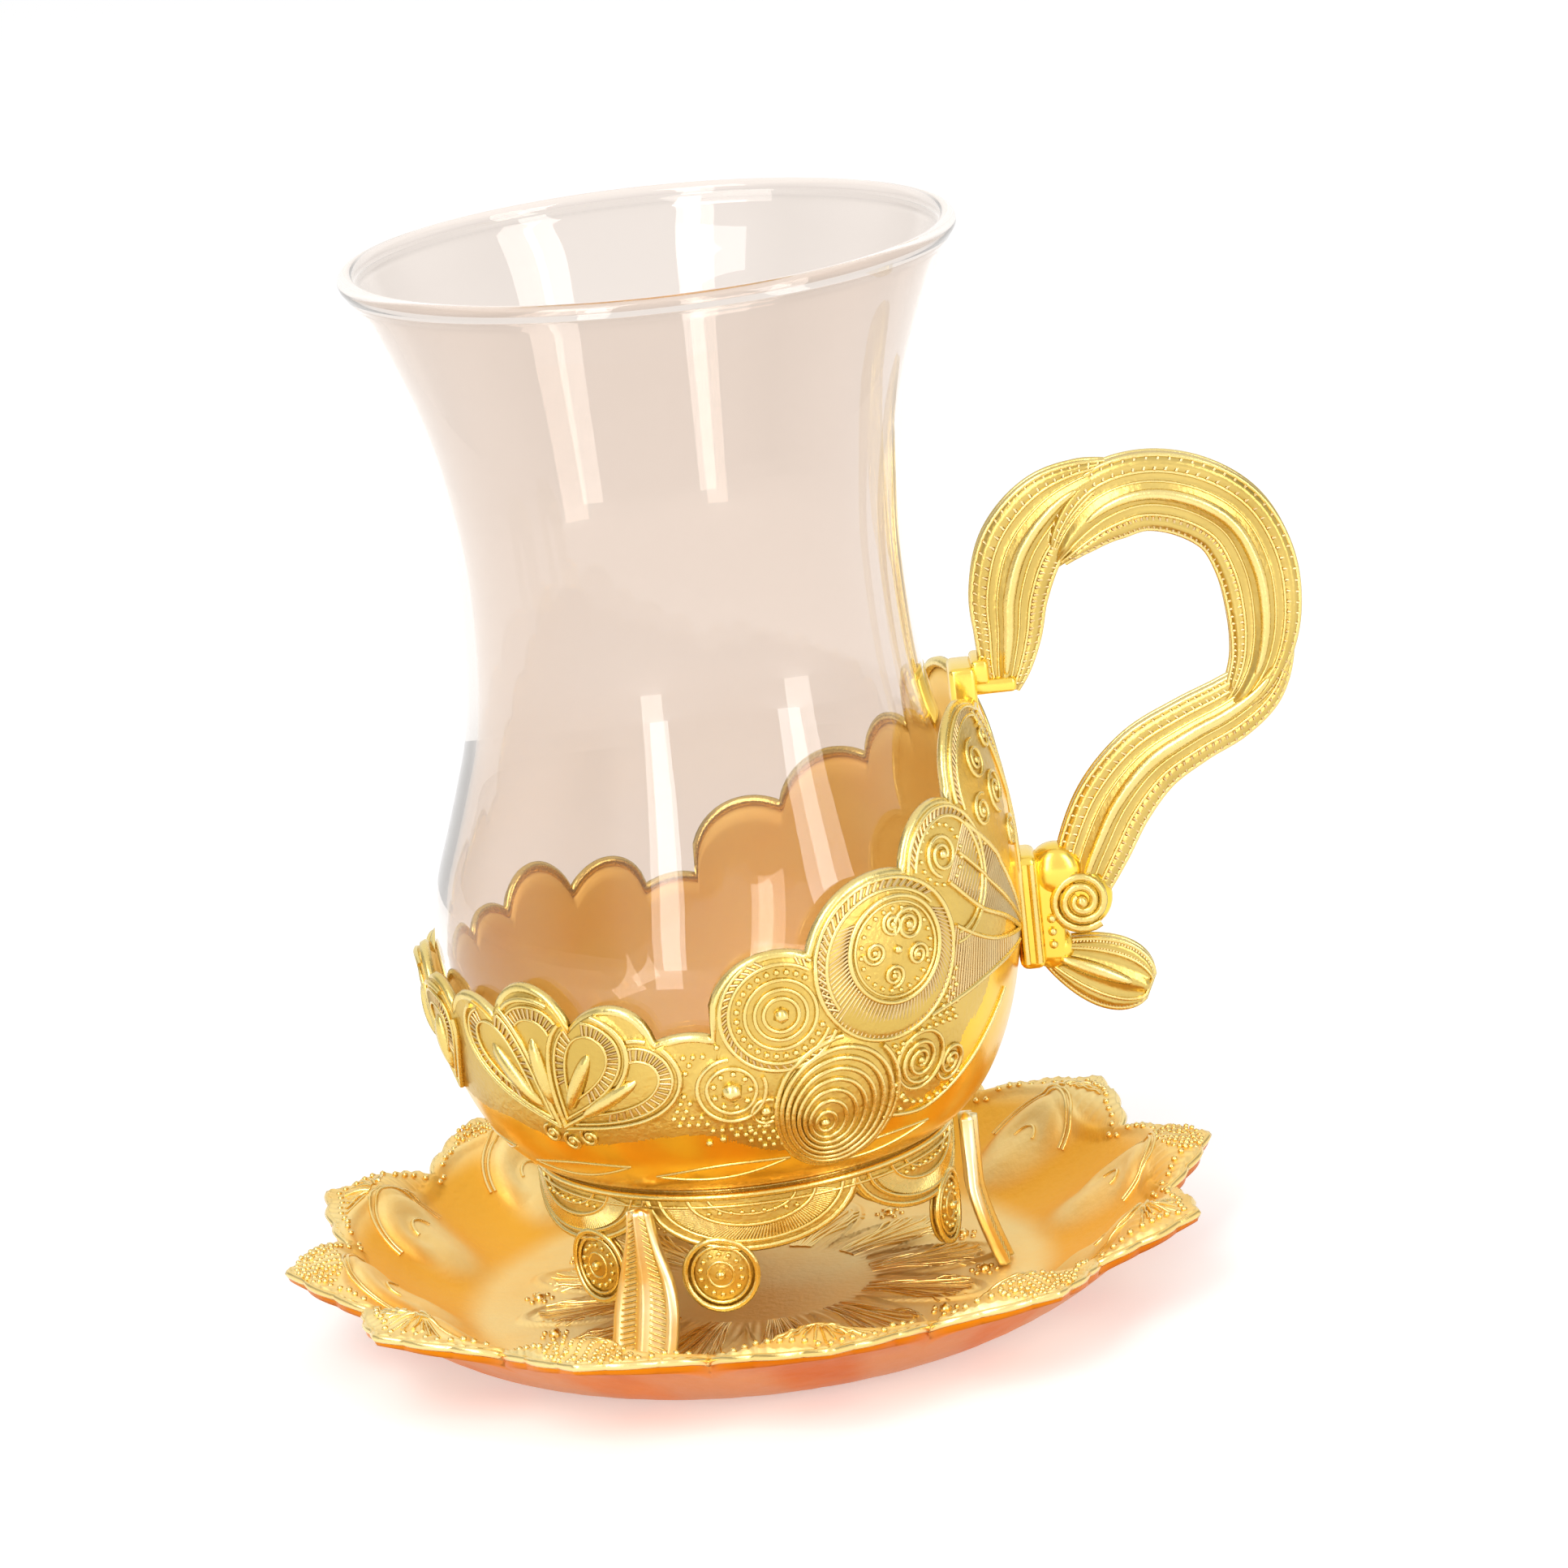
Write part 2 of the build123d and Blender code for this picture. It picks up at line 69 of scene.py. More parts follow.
def gilding_group():
    """A plated casting's look: two golds that drift, a third painted as shade in the fold hollows, fine
    pitting.
    """
    group = bpy.data.node_groups.new("gilding_tone_and_fold_shade", "ShaderNodeTree")
    face = group.interface
    for name, kind, start in (
        ("Light", "NodeSocketColor", (0.9, 0.6, 0.2, 1)),
        ("Deep", "NodeSocketColor", (0.8, 0.4, 0.1, 1)),
        ("Fold Shade", "NodeSocketColor", (0.7, 0.3, 0.1, 1)),
        ("Grain", "NodeSocketFloat", 900.0),
        ("Gloss", "NodeSocketFloat", 0.2),
    ):
        face.new_socket(name, in_out="INPUT", socket_type=kind).default_value = start
    face.new_socket("Color", in_out="OUTPUT", socket_type="NodeSocketColor")
    face.new_socket("Roughness", in_out="OUTPUT", socket_type="NodeSocketFloat")
    face.new_socket("Height", in_out="OUTPUT", socket_type="NodeSocketFloat")
    nodes, links = group.nodes, group.links
    given = nodes.new("NodeGroupInput")
    out = nodes.new("NodeGroupOutput")
    where = nodes.new("ShaderNodeTexCoord")
    drift = nodes.new("ShaderNodeTexNoise")
    drift.inputs["Scale"].default_value = 70.0
    drift.inputs["Detail"].default_value = 3.0
    pits = nodes.new("ShaderNodeTexNoise")
    pits.inputs["Detail"].default_value = 4.0
    spread = nodes.new("ShaderNodeMapRange")
    spread.inputs["From Min"].default_value = 0.38
    spread.inputs["From Max"].default_value = 0.62
    blend = nodes.new("ShaderNodeMix")
    blend.data_type = "RGBA"
    # painted shade: this mask mixes a darker, deeper gold into the fold hollows
    fold_shade = nodes.new("ShaderNodeAttribute")
    fold_shade.attribute_name = "fold_shade"
    fold_shade_mix = nodes.new("ShaderNodeMix")
    fold_shade_mix.data_type = "RGBA"
    rough = nodes.new("ShaderNodeMath")
    rough.operation = "MULTIPLY_ADD"
    rough.inputs[1].default_value = 0.14
    links.new(where.outputs["Object"], drift.inputs["Vector"])
    links.new(where.outputs["Object"], pits.inputs["Vector"])
    links.new(given.outputs["Grain"], pits.inputs["Scale"])
    links.new(drift.outputs["Fac"], spread.inputs["Value"])
    links.new(spread.outputs["Result"], blend.inputs["Factor"])
    links.new(given.outputs["Light"], blend.inputs["A"])
    links.new(given.outputs["Deep"], blend.inputs["B"])
    links.new(pits.outputs["Fac"], rough.inputs[0])
    links.new(given.outputs["Gloss"], rough.inputs[2])
    links.new(fold_shade.outputs["Fac"], fold_shade_mix.inputs["Factor"])
    links.new(blend.outputs["Result"], fold_shade_mix.inputs["A"])
    links.new(given.outputs["Fold Shade"], fold_shade_mix.inputs["B"])
    links.new(fold_shade_mix.outputs["Result"], out.inputs["Color"])
    links.new(rough.outputs["Value"], out.inputs["Roughness"])
    links.new(pits.outputs["Fac"], out.inputs["Height"])
    return group


gilding_tone_and_fold_shade = gilding_group()


def gilt(name, light, deep, gloss, pitting, grain=900.0, fold_shade_colour=(0.7, 0.3, 0.1), metal=1.0):
    """A gilt metal: its golds, its colour painted as shade in fold hollows, how rough it is, and how deep
    and fine its pitting is.
    """
    material = bpy.data.materials.new(name)
    material.use_nodes = True
    nodes, links = material.node_tree.nodes, material.node_tree.links
    surface = nodes["Principled BSDF"]
    surface.inputs["Metallic"].default_value = metal
    tone_and_fold_shade = nodes.new("ShaderNodeGroup")
    tone_and_fold_shade.node_tree = gilding_tone_and_fold_shade
    tone_and_fold_shade.inputs["Light"].default_value = (*light, 1)
    tone_and_fold_shade.inputs["Deep"].default_value = (*deep, 1)
    # painted shade: the darker, deeper gold that the fold hollows are painted with
    tone_and_fold_shade.inputs["Fold Shade"].default_value = (*fold_shade_colour, 1)
    tone_and_fold_shade.inputs["Grain"].default_value = grain
    tone_and_fold_shade.inputs["Gloss"].default_value = gloss
    bump = nodes.new("ShaderNodeBump")
    bump.inputs["Strength"].default_value = pitting
    bump.inputs["Distance"].default_value = 0.0002
    links.new(tone_and_fold_shade.outputs["Color"], surface.inputs["Base Color"])
    links.new(tone_and_fold_shade.outputs["Roughness"], surface.inputs["Roughness"])
    links.new(tone_and_fold_shade.outputs["Height"], bump.inputs["Height"])
    links.new(bump.outputs["Normal"], surface.inputs["Normal"])
    return material


# painted shade: the third colour is the darker, deeper orange painted into the valleys between the wall's
# folds
saucer_gilt = gilt("saucer_gilt", (1.0, 0.80, 0.36), (1.0, 0.72, 0.26), 0.44, 0.35, 1300.0,
                   (0.98, 0.52, 0.05), 0.75)
# painted shade: the underside's gilt is painted a darker, redder orange than the top
underside_shaded_gilt = gilt("underside_shaded_gilt", (0.76, 0.24, 0.006), (0.66, 0.17, 0.003), 0.34, 0.45, 500.0)
rim_gilt = gilt("rim_gilt", (0.94, 0.72, 0.30), (0.90, 0.64, 0.22), 0.18, 0.20)


def piece(name, bm, slot, *materials):
    """Makes a bmesh in millimetres a finished smooth piece that rides on the object."""
    bmesh.ops.scale(bm, vec=(MM, MM, MM), verts=bm.verts)
    mesh = bpy.data.meshes.new(name)
    bm.to_mesh(mesh)
    bm.free()
    mesh.polygons.foreach_set("use_smooth", [True] * len(mesh.polygons))
    thing = bpy.data.objects.new(name, mesh)
    scene.collection.objects.link(thing)
    for material in materials:
        mesh.materials.append(material)
    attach(thing, "root")
    return thing


def formed_sheet(place, across, along):
    """A grid pressed into a closed shape: each corner goes to place(u, v), both from 0 to 1."""
    bm = bmesh.new()
    bmesh.ops.create_grid(bm, x_segments=across, y_segments=along, size=0.5)
    for corner in bm.verts:
        corner.co = place(corner.co.x + 0.5, corner.co.y + 0.5)
    bmesh.ops.remove_doubles(bm, verts=bm.verts, dist=0.0005)
    bmesh.ops.recalc_face_normals(bm, faces=bm.faces)
    return bm


def wires(name, paths, material, sides=1):
    """Round wires laid along (points, radius) paths in millimetres, joined as one piece."""
    line = bpy.data.curves.new(name, "CURVE")
    line.dimensions = "3D"
    line.bevel_depth = MM
    line.bevel_resolution = sides
    line.use_fill_caps = True
    for points, radius in paths:
        closed = (Vector(points[0]) - Vector(points[-1])).length < 1e-6
        spots = points[:-1] if closed else points
        spline = line.splines.new("POLY")
        spline.points.add(len(spots) - 1)
        spline.use_cyclic_u = closed
        for k, (point, spot) in enumerate(zip(spline.points, spots)):
            point.co = (spot[0] * MM, spot[1] * MM, spot[2] * MM, 1)
            point.radius = radius[k] if isinstance(radius, list) else radius
    drawn = bpy.data.objects.new(name + "_line", line)
    mesh = bpy.data.meshes.new_from_object(drawn)
    bpy.data.objects.remove(drawn)
    bpy.data.curves.remove(line)
    mesh.name = name
    mesh.materials.clear()
    mesh.materials.append(material)
    mesh.polygons.foreach_set("use_smooth", [True] * len(mesh.polygons))
    thing = bpy.data.objects.new(name, mesh)
    scene.collection.objects.link(thing)
    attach(thing, "root")
    return thing


def grains(name, spots, material, slot, roundness=1):
    """Small balls at (place, radius), joined as one piece."""
    bm = bmesh.new()
    for place, radius in spots:
        bmesh.ops.create_icosphere(
            bm, subdivisions=roundness, radius=radius, matrix=Matrix.Translation(place))
    return piece(name, bm, slot, material)


def smooth(low, high, value):
    part = min(max((value - low) / (high - low), 0.0), 1.0)
    return part * part * (3 - 2 * part)


def polar(turn, radius, height):
    return Vector((radius * cos(radians(turn)), radius * sin(radians(turn)), height))


def lobe_turn(turn):
    """Degrees from the middle of the nearest lobe."""
    return (turn - SAUCER_TURN + LOBE_SPAN / 2) % LOBE_SPAN - LOBE_SPAN / 2


def saucer_edge(turn):
    """Radius of the rim's outline: pointed lobes with small scallops along them."""
    away = abs(lobe_turn(turn)) / (LOBE_SPAN / 2)
    scallop = 0.5 * abs(cos(radians(turn - SAUCER_TURN) * 180 * SCALLOPS / LOBE_SPAN))
    return SAUCER_NOTCH + (SAUCER_TIP - 0.5 - SAUCER_NOTCH) * (1 - away) ** 0.85 + scallop


def saucer_form(radius):
    """Height of the plain dish: flat floor, rising wall, and a rim that turns out."""
    run = max(radius - SAUCER_FLOOR_RADIUS, 0) / SAUCER_WALL_RUN
    out = max(radius, 36) - SAUCER_FLOOR_RADIUS - SAUCER_WALL_RUN
    wall = SAUCER_WALL_RISE * run ** 1.7
    rim = SAUCER_WALL_RISE + SAUCER_RIM_SLOPE * out
    return -RIM_SOFTNESS * log(exp(-wall / RIM_SOFTNESS) + exp(-rim / RIM_SOFTNESS))


def ridge(distance, half_width):
    """A rounded ridge, 1 at its crest and 0 beyond its half width."""
    return max(0.0, 1 - (distance / half_width) ** 2)


def saucer_fold(turn, radius):
    """The wall's petals, from 0 in the valleys to 1 on the crests, swept round as they climb."""
    phase = radians(LOBES * (turn - SAUCER_TURN) + 5.0 * (radius - 40.0))
    crest = 0.5 + 0.5 * cos(phase + 0.45 * sin(phase))
    return crest * smooth(30.0, 36.0, radius) * (1 - smooth(44.0, 49.0, radius))


def saucer_relief(turn, radius):
    """The fine relief: shells on the floor, a crescent and a curl in each petal, a combed rim."""
    off = lobe_turn(turn)
    across = radians(off) * radius
    on_floor = 1 - smooth(27.0, 29.0, radius)
    fan_edge = 25.8 - 0.05 * off * off
    ribs = 0.5 + 0.5 * cos(radians(turn) * 84)
    height = 0.30 * on_floor * smooth(11.0, 15.0, radius) * (1 - smooth(
        fan_edge - 2.0, fan_edge - 0.8, radius)) * ribs
    height += 0.42 * on_floor * ridge(radius - fan_edge, 0.8)
    height += 0.26 * on_floor * ridge(radius - fan_edge + 1.7, 0.45)
    curl = hypot(across - 0.6, radius - CURL_RADIUS)
    outer_side = smooth(-1.5, 2.0, radius - CURL_RADIUS + 0.35 * across)
    height += 0.75 * ridge(curl - 3.6, 1.5) * outer_side
    s_line = 43.4 + 1.5 * sin(radians(turn - SAUCER_TURN) * LOBES)
    height += 0.55 * ridge(radius - s_line, 0.7)
    comb = 0.5 + 0.5 * cos(radians(turn) * 228)
    return height + 0.28 * comb * smooth(s_line + 0.5, s_line + 1.1, radius)


SAUCER_TOP_ROWS = 110
SAUCER_UNDER_ROWS = 20
SAUCER_ROWS = SAUCER_TOP_ROWS + 2 + SAUCER_UNDER_ROWS


def saucer_top(turn, radius):
    return (SAUCER_SHEET + saucer_form(radius) + FOLD_DEPTH * saucer_fold(turn, radius)
            + saucer_relief(turn, radius))


def saucer_place(u, v):
    """Out over the upper face, round the rim and back along the underside."""
    turn = 360 * u
    edge = saucer_edge(turn)
    row = round(v * SAUCER_ROWS)
    if row <= SAUCER_TOP_ROWS:
        radius = 8 + (edge - 8) * (row / SAUCER_TOP_ROWS) ** 0.92 if row else 0
        return polar(turn, radius, saucer_top(turn, radius))
    if row == SAUCER_TOP_ROWS + 1:
        return polar(turn, edge + 0.2, saucer_form(edge) + 0.8)
    radius = edge * (SAUCER_ROWS - row) / SAUCER_UNDER_ROWS
    return polar(turn, radius, saucer_form(radius) + 0.3 * smooth(46, 50, radius))


dish = formed_sheet(saucer_place, 720, SAUCER_ROWS)
# painted shade: 1 in the valleys between the wall's petal folds and 0 on the crests, where the gilt is
# painted darker
fold_shade = dish.verts.layers.float.new("fold_shade")
for corner in dish.verts:
    radius = hypot(corner.co.x, corner.co.y)
    turn = degrees(atan2(corner.co.y, corner.co.x))
    on_wall_share = smooth(29.0, 33.0, radius) * (1 - smooth(42.0, 45.5, radius))
    corner[fold_shade] = on_wall_share * (1 - smooth(0.1, 0.75, saucer_fold(turn, radius)))
# faces that point down take the underside gilt, painted darker as shade
for face in dish.faces:
    face.material_index = 1 if face.normal.z < -0.05 else 0
saucer_dish = piece("saucer_dish", dish, "gilt_saucer", saucer_gilt, underside_shaded_gilt)
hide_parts("saucer")

rim_turns = [k / 2 for k in range(721)]
rim_path = [polar(t, saucer_edge(t), saucer_form(saucer_edge(t)) + 1.15) for t in rim_turns]
rim_path[-1] = rim_path[0]
saucer_paths = [(rim_path, 0.46)]
saucer_beads = []


def on_saucer(turn, radius, lift=0.05):
    return polar(turn, radius, saucer_top(turn, radius) + lift)


for k in range(240):
    turn = k * 360 / 240
    saucer_beads.append((on_saucer(turn, saucer_edge(turn) - 1.35), 0.40))
for lobe in range(LOBES):
    middle = SAUCER_TURN + lobe * LOBE_SPAN
    if lobe % 2:
        for k in range(-8, 9):
            start, end = middle + 0.5 * k, middle + 1.25 * k
            reach = saucer_edge(end) - 2.0
            if reach > 45.6:
                path = [on_saucer(start + (end - start) * n / 6, 44.6 + (reach - 44.6) * n / 6)
                        for n in range(7)]
                saucer_paths.append((path, 0.2))
    else:
        for ring in range(0, 5):
            for k in range(max(ring * 6, 1)):
                around = 2 * pi * k / max(ring * 6, 1)
                radius = 46.6 + 0.58 * ring * cos(around)
                turn = middle + degrees(1.15 * ring * sin(around) / radius)
                saucer_beads.append((on_saucer(turn, radius), 0.33))
    for reach in (1.5, 5.3, 5.9):
        arc = []
        for k in range(-12, 13):
            around = radians(k * 6.5)
            radius = CURL_RADIUS + reach * cos(around)
            arc.append(on_saucer(middle + degrees((0.6 + reach * sin(around)) / radius), radius))
        saucer_paths.append((arc, 0.2))
    for k in range(-6, 7):
        line = [on_saucer(middle + k * (0.9 + 0.075 * (r - 12)), r, 0.0)
                for r in range(12, 25 - abs(k) // 3)]
        saucer_paths.append((line, 0.17))
    saucer_beads.append((on_saucer(middle + 15, 24.0), 0.8))
    for k in range(6):
        around = 2 * pi * k / 6
        saucer_beads.append((on_saucer(middle + 15 + 3.2 * sin(around), 24 + 1.35 * cos(around)),
                             0.36))
wires("saucer_wires", saucer_paths, rim_gilt)
grains("saucer_beads", saucer_beads, rim_gilt, "gilt_saucer")


# ---------------------------------------------------------------- gallery
# The short wall that carries the bowl: a cast ring cut below into six festoons, with a round
# scroll on each side of every leg. Wires and combs stand proud of it, all one gilt casting.

gallery_low, gallery_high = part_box("foot_gallery")
GALLERY_TOP = gallery_high.z / MM
GALLERY_RADIUS = 21.9
GALLERY_WALL = 1.3
FESTOON_DROP = 6.2
FESTOON_HALF = 11.15
SCROLL_RADIUS = 4.0
SCROLL_TURN = 19.5
SCROLL_HEIGHT = GALLERY_TOP - 8.8
LEG_TURNS = (0, 120, 240)
ornament_gilt = gilt("ornament_gilt", (0.85, 0.68, 0.27), (0.78, 0.59, 0.19), 0.20, 0.25, 1500.0)
ground_gilt = gilt("ground_gilt", (0.70, 0.50, 0.13), (0.60, 0.41, 0.10), 0.30, 0.45, 1800.0)
comb_gilt = gilt("comb_gilt", (0.74, 0.55, 0.27), (0.66, 0.47, 0.21), 0.22, 0.15)


def on_gallery(turn, x, height, lift):
    """A place on the gallery's wall, x millimetres round from a turn."""
    return polar(turn + degrees(x / GALLERY_RADIUS), GALLERY_RADIUS + lift, height)


def festoon_height(turn):
    off = (turn % 60 - 30) * pi / 180
    part = min(abs(GALLERY_RADIUS * sin(off)) / FESTOON_HALF, 1.0)
    return GALLERY_TOP - 1.3 - (FESTOON_DROP - 1.3) * sqrt(max(1 - part * part, 0))


def gallery_place(u, v):
    """Out down the face, round the hem and back up inside."""
    turn = 360 * u
    row = round(v * 25)
    hem = festoon_height(turn)
    top = GALLERY_TOP - 0.05
    if row <= 12:
        height = top + (hem - top) * row / 12
        return polar(turn, GALLERY_RADIUS, height)
    if row <= 24:
        height = hem + (top - hem) * (row - 13) / 11
        return polar(turn, GALLERY_RADIUS - GALLERY_WALL, height)
    return polar(turn, GALLERY_RADIUS, top)


gallery_wall = piece("gallery_wall", formed_sheet(gallery_place, 360, 25), "gilt_holder",
                     ground_gilt)
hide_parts("foot_gallery")

gallery_paths = []
gallery_beads = []
ring_turns = [2 * k for k in range(181)]
for drop, radius in ((0.35, 0.42), (1.45, 0.2)):
    gallery_paths.append(([polar(t, GALLERY_RADIUS + 0.1, GALLERY_TOP - drop)
                           for t in ring_turns], radius))
for k in range(6):
    middle = 30 + 60 * k
    for share, radius, lift in ((1.0, 0.40, -0.1), (0.86, 0.24, 0.1), (0.56, 0.24, 0.1),
                                (0.36, 0.18, 0.1)):
        path = []
        for step in range(-15, 16):
            swing = radians(step * 6)
            height = GALLERY_TOP - 0.4 - (FESTOON_DROP - 0.4) * share * cos(swing)
            path.append(on_gallery(middle, FESTOON_HALF * (share * 0.92 + 0.08) * sin(swing) * 1.02,
                                   height, lift))
        gallery_paths.append((path, radius))
    for step in range(-34, 35):
        swing = radians(step * 2.3)
        ends = []
        for share, lean in ((0.83, 0.0), (0.60, 0.10)):
            height = GALLERY_TOP - 0.4 - (FESTOON_DROP - 0.4) * share * cos(swing + lean)
            ends.append(on_gallery(middle, FESTOON_HALF * share * sin(swing + lean), height, 0.1))
        gallery_paths.append((ends, 0.15))
    for step in range(-4, 5):
        gallery_beads.append((on_gallery(middle, step * 1.15, GALLERY_TOP - 2.2, 0.1), 0.32))

scroll_discs = bmesh.new()
for leg in LEG_TURNS:
    for side in (-1, 1):
        turn = leg + side * SCROLL_TURN
        made = bmesh.ops.create_uvsphere(scroll_discs, u_segments=28, v_segments=14, radius=1.0)
        for corner in made["verts"]:
            flat = corner.co.copy()
            dome = 0.25 * (1 - flat.x * flat.x - flat.y * flat.y) if flat.z > 0 else 0
            corner.co = on_gallery(turn, flat.x * SCROLL_RADIUS, SCROLL_HEIGHT
                                   + flat.y * SCROLL_RADIUS, 0.62 * flat.z - 0.6 + dome)
        for share, radius in ((0.95, 0.36), (0.76, 0.2), (0.34, 0.2)):
            ring = []
            for step in range(31):
                around = 2 * pi * step / 30
                ring.append(on_gallery(turn, SCROLL_RADIUS * share * sin(around), SCROLL_HEIGHT
                                       + SCROLL_RADIUS * share * cos(around), 0.12))
            ring[-1] = ring[0]
            gallery_paths.append((ring, radius))
        gallery_beads.append((on_gallery(turn, 0, SCROLL_HEIGHT, 0.3), 0.62))
        for step in range(14):
            around = 2 * pi * step / 14
            gallery_beads.append((on_gallery(turn, 2.2 * sin(around), SCROLL_HEIGHT
                                             + 2.2 * cos(around), 0.1), 0.34))
piece("gallery_scrolls", scroll_discs, "gilt_holder", ground_gilt)
wires("gallery_wires", gallery_paths, ornament_gilt)
grains("gallery_beads", gallery_beads, ornament_gilt, "gilt_holder")


# ---------------------------------------------------------------- legs
# Three cast leaf blades with a raised midrib and a turned-up border. Each is soldered to a pad on
# the gallery and flares out to stand on the saucer's floor.

LEG_TOP = GALLERY_TOP - 1.0
LEG_FOOT = SAUCER_SHEET
LEG_KNEE = LEG_FOOT + 9.2
LEG_SEAT = 22.7
LEG_FLARE = 2.6
LEG_THICKNESS = 1.7
leg_gilt = gilt("leg_gilt", (0.97, 0.84, 0.50), (0.94, 0.77, 0.40), 0.24, 0.12)
leg_lines = []


def leg_width(height):
    """Half the blade's width: narrow at the pad, full at the toe."""
    part = (LEG_TOP - height) / (LEG_TOP - LEG_FOOT)
    return 1.35 + 2.45 * smooth(0.0, 0.72, part) - 0.25 * smooth(0.8, 1.0, part)


for number, turn in enumerate(LEG_TURNS, 1):
    def leg_place(u, v):
        """Round the blade's section, from its back over the border and midrib."""
        around = 2 * pi * u
        part = min(max(v, 0.0), 1.0)
        height = LEG_TOP + (LEG_FOOT - LEG_TOP) * part
        narrow = 0.0 if v in (0.0, 1.0) else 1.0
        share = -cos(around)
        drop = max(LEG_KNEE - height, 0) / (LEG_KNEE - LEG_FOOT)
        back = LEG_SEAT + LEG_FLARE * drop ** 1.35
        front = 1.05 + 0.55 * ridge(share, 0.22) + 0.40 * ridge(abs(share) - 0.82, 0.16)
        front += 0.15 * cos(pi * share)
        thick = LEG_THICKNESS / 2
        out = back + thick + (front - thick + 0.35 if sin(around) > 0 else thick) * (
            abs(sin(around)) ** 0.3 * (1 if sin(around) > 0 else -1))
        side = share * leg_width(height) * narrow
        if not narrow:
            out = back + thick
        return polar(turn, out, height) + side * Vector((-sin(radians(turn)),
                                                         cos(radians(turn)), 0))

    blade = formed_sheet(leg_place, 56, 48)
    leg_blade = piece(f"leg_blade_{number}", blade, "gilt_holder", leg_gilt)
    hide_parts(f"leg_{number}")
    for sign in (-1, 1):
        for k in range(26):
            height = LEG_FOOT + 0.6 + k * 0.6
            ends = []
            for share in (0.22, 0.70):
                drop = max(LEG_KNEE - height, 0) / (LEG_KNEE - LEG_FOOT)
                out = LEG_SEAT + LEG_FLARE * drop ** 1.35 + 1.5
                aside = sign * share * leg_width(height)
                ends.append(polar(turn, out, height + (0.5 - share)) + aside * Vector(
                    (-sin(radians(turn)), cos(radians(turn)), 0)))
            leg_lines.append((ends, 0.13))
wires("leg_lines", leg_lines, ornament_gilt, 0)


# ---------------------------------------------------------------- cup
# The cast bowl that holds the glass. It climbs towards the handle and its edge is cut into leaves,
# a rosette and two palmettes. Their wires and grains are all cast in one with the polished wall.

cup_low, cup_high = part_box("holder_cup")
CUP_BOTTOM = cup_low.z / MM
CUP_FLAT = 20.0
CUP_WIDE = -cup_low.x / MM - 0.3
CUP_WIDE_HEIGHT = CUP_BOTTOM + 25.7
CUP_TOP_HEIGHT = CUP_WIDE_HEIGHT + 22.8
CUP_LEAN = 4.2
CUP_WALL = 1.3
CUP_GIRTH = 31.5
CUP_EDGE_LOW = 35.7
EDGE_SLOPE = 0.60
EDGE_TOP = 63.6
ROSETTE = (58.5, 43.9, 9.0, 8.9, 0)
SMALL_SPIRAL = (81.0, 40.5, 6.9, 6.4, 0)
SECOND_LEAF = (41.0, 50.3, 6.6, 7.6, 0)
TOP_LEAF = (20.0, 56.9, 8.6, 8.6, 0)
PETAL_TIPS = ((103.0, 33.3, 5.0, 7.6, 58), (115.5, 36.1, 5.0, 6.6, 31), (131.0, 37.6, 5.2, 6.6, -7),
              (145.5, 35.9, 5.0, 6.6, -38), (163.0, 35.9, 5.0, 6.2, 0), (180.0, 36.9, 5.2, 6.2, 0))
BIG_SPIRAL = (70.0, 29.3, 7.2, 8.2, -28)
COILS = (48.0, 31.0, 5.0, 3.8, 0)
FLOWER = (91.5, 33.0, 4.4, 4.2, 0)
ORNAMENT_FLOOR = ((0, 66.0), (9, 64.0), (16, 47.0), (24, 41.0), (36, 34.0), (46, 27.5), (56, 26.0), (70, 21.6), (82, 25.0),
                  (100, 28.0), (128, 26.5), (150, 28.5), (180, 29.5))
bowl_gilt = gilt("bowl_gilt", (0.96, 0.60, 0.05), (0.94, 0.52, 0.03), 0.14, 0.08, metal=0.85)
field_gilt = gilt("field_gilt", (0.72, 0.50, 0.13), (0.62, 0.42, 0.10), 0.27, 0.45, 1800.0)
lining_gilt = gilt("lining_gilt", (1.0, 0.70, 0.20), (1.0, 0.62, 0.15), 0.42, 0.10, metal=0.15)
bright_gilt = gilt("bright_gilt", (0.97, 0.72, 0.15), (0.95, 0.64, 0.09), 0.14, 0.10)


def through(points, count):
    """Evenly many places along a smooth line through the points."""
    ends = [points[0], *points, points[-1]]
    places = []
    for i in range(len(points) - 1):
        a, b, c, d = (Vector(p) for p in ends[i:i + 4])
        for k in range(count):
            t = k / count
            places.append(0.5 * (2 * b + (c - a) * t + (2 * a - 5 * b + 4 * c - d) * t * t
                                 + (3 * b - a - 3 * c + d) * t ** 3))
    places.append(Vector(points[-1]))
    return places


def quarter(inner, outer, bottom, top, count):
    """A quarter of an ellipse from a flat bottom up to an upright wall."""
    return [Vector((inner + (outer - inner) * sin(pi / 2 * k / count),
                    top - (top - bottom) * cos(pi / 2 * k / count))) for k in range(count)]


WALL_STEPS = 60
wall_line = quarter(CUP_FLAT, CUP_WIDE, CUP_BOTTOM, CUP_WIDE_HEIGHT, WALL_STEPS)
for k in range(WALL_STEPS + 1):
    part = k / WALL_STEPS
    wall_line.append(Vector((CUP_WIDE - CUP_LEAN * part ** 2, CUP_WIDE_HEIGHT
                             + (CUP_TOP_HEIGHT - CUP_WIDE_HEIGHT) * part)))
wall_lengths = [0.0]
for before, after in zip(wall_line, wall_line[1:]):
    wall_lengths.append(wall_lengths[-1] + (after - before).length)


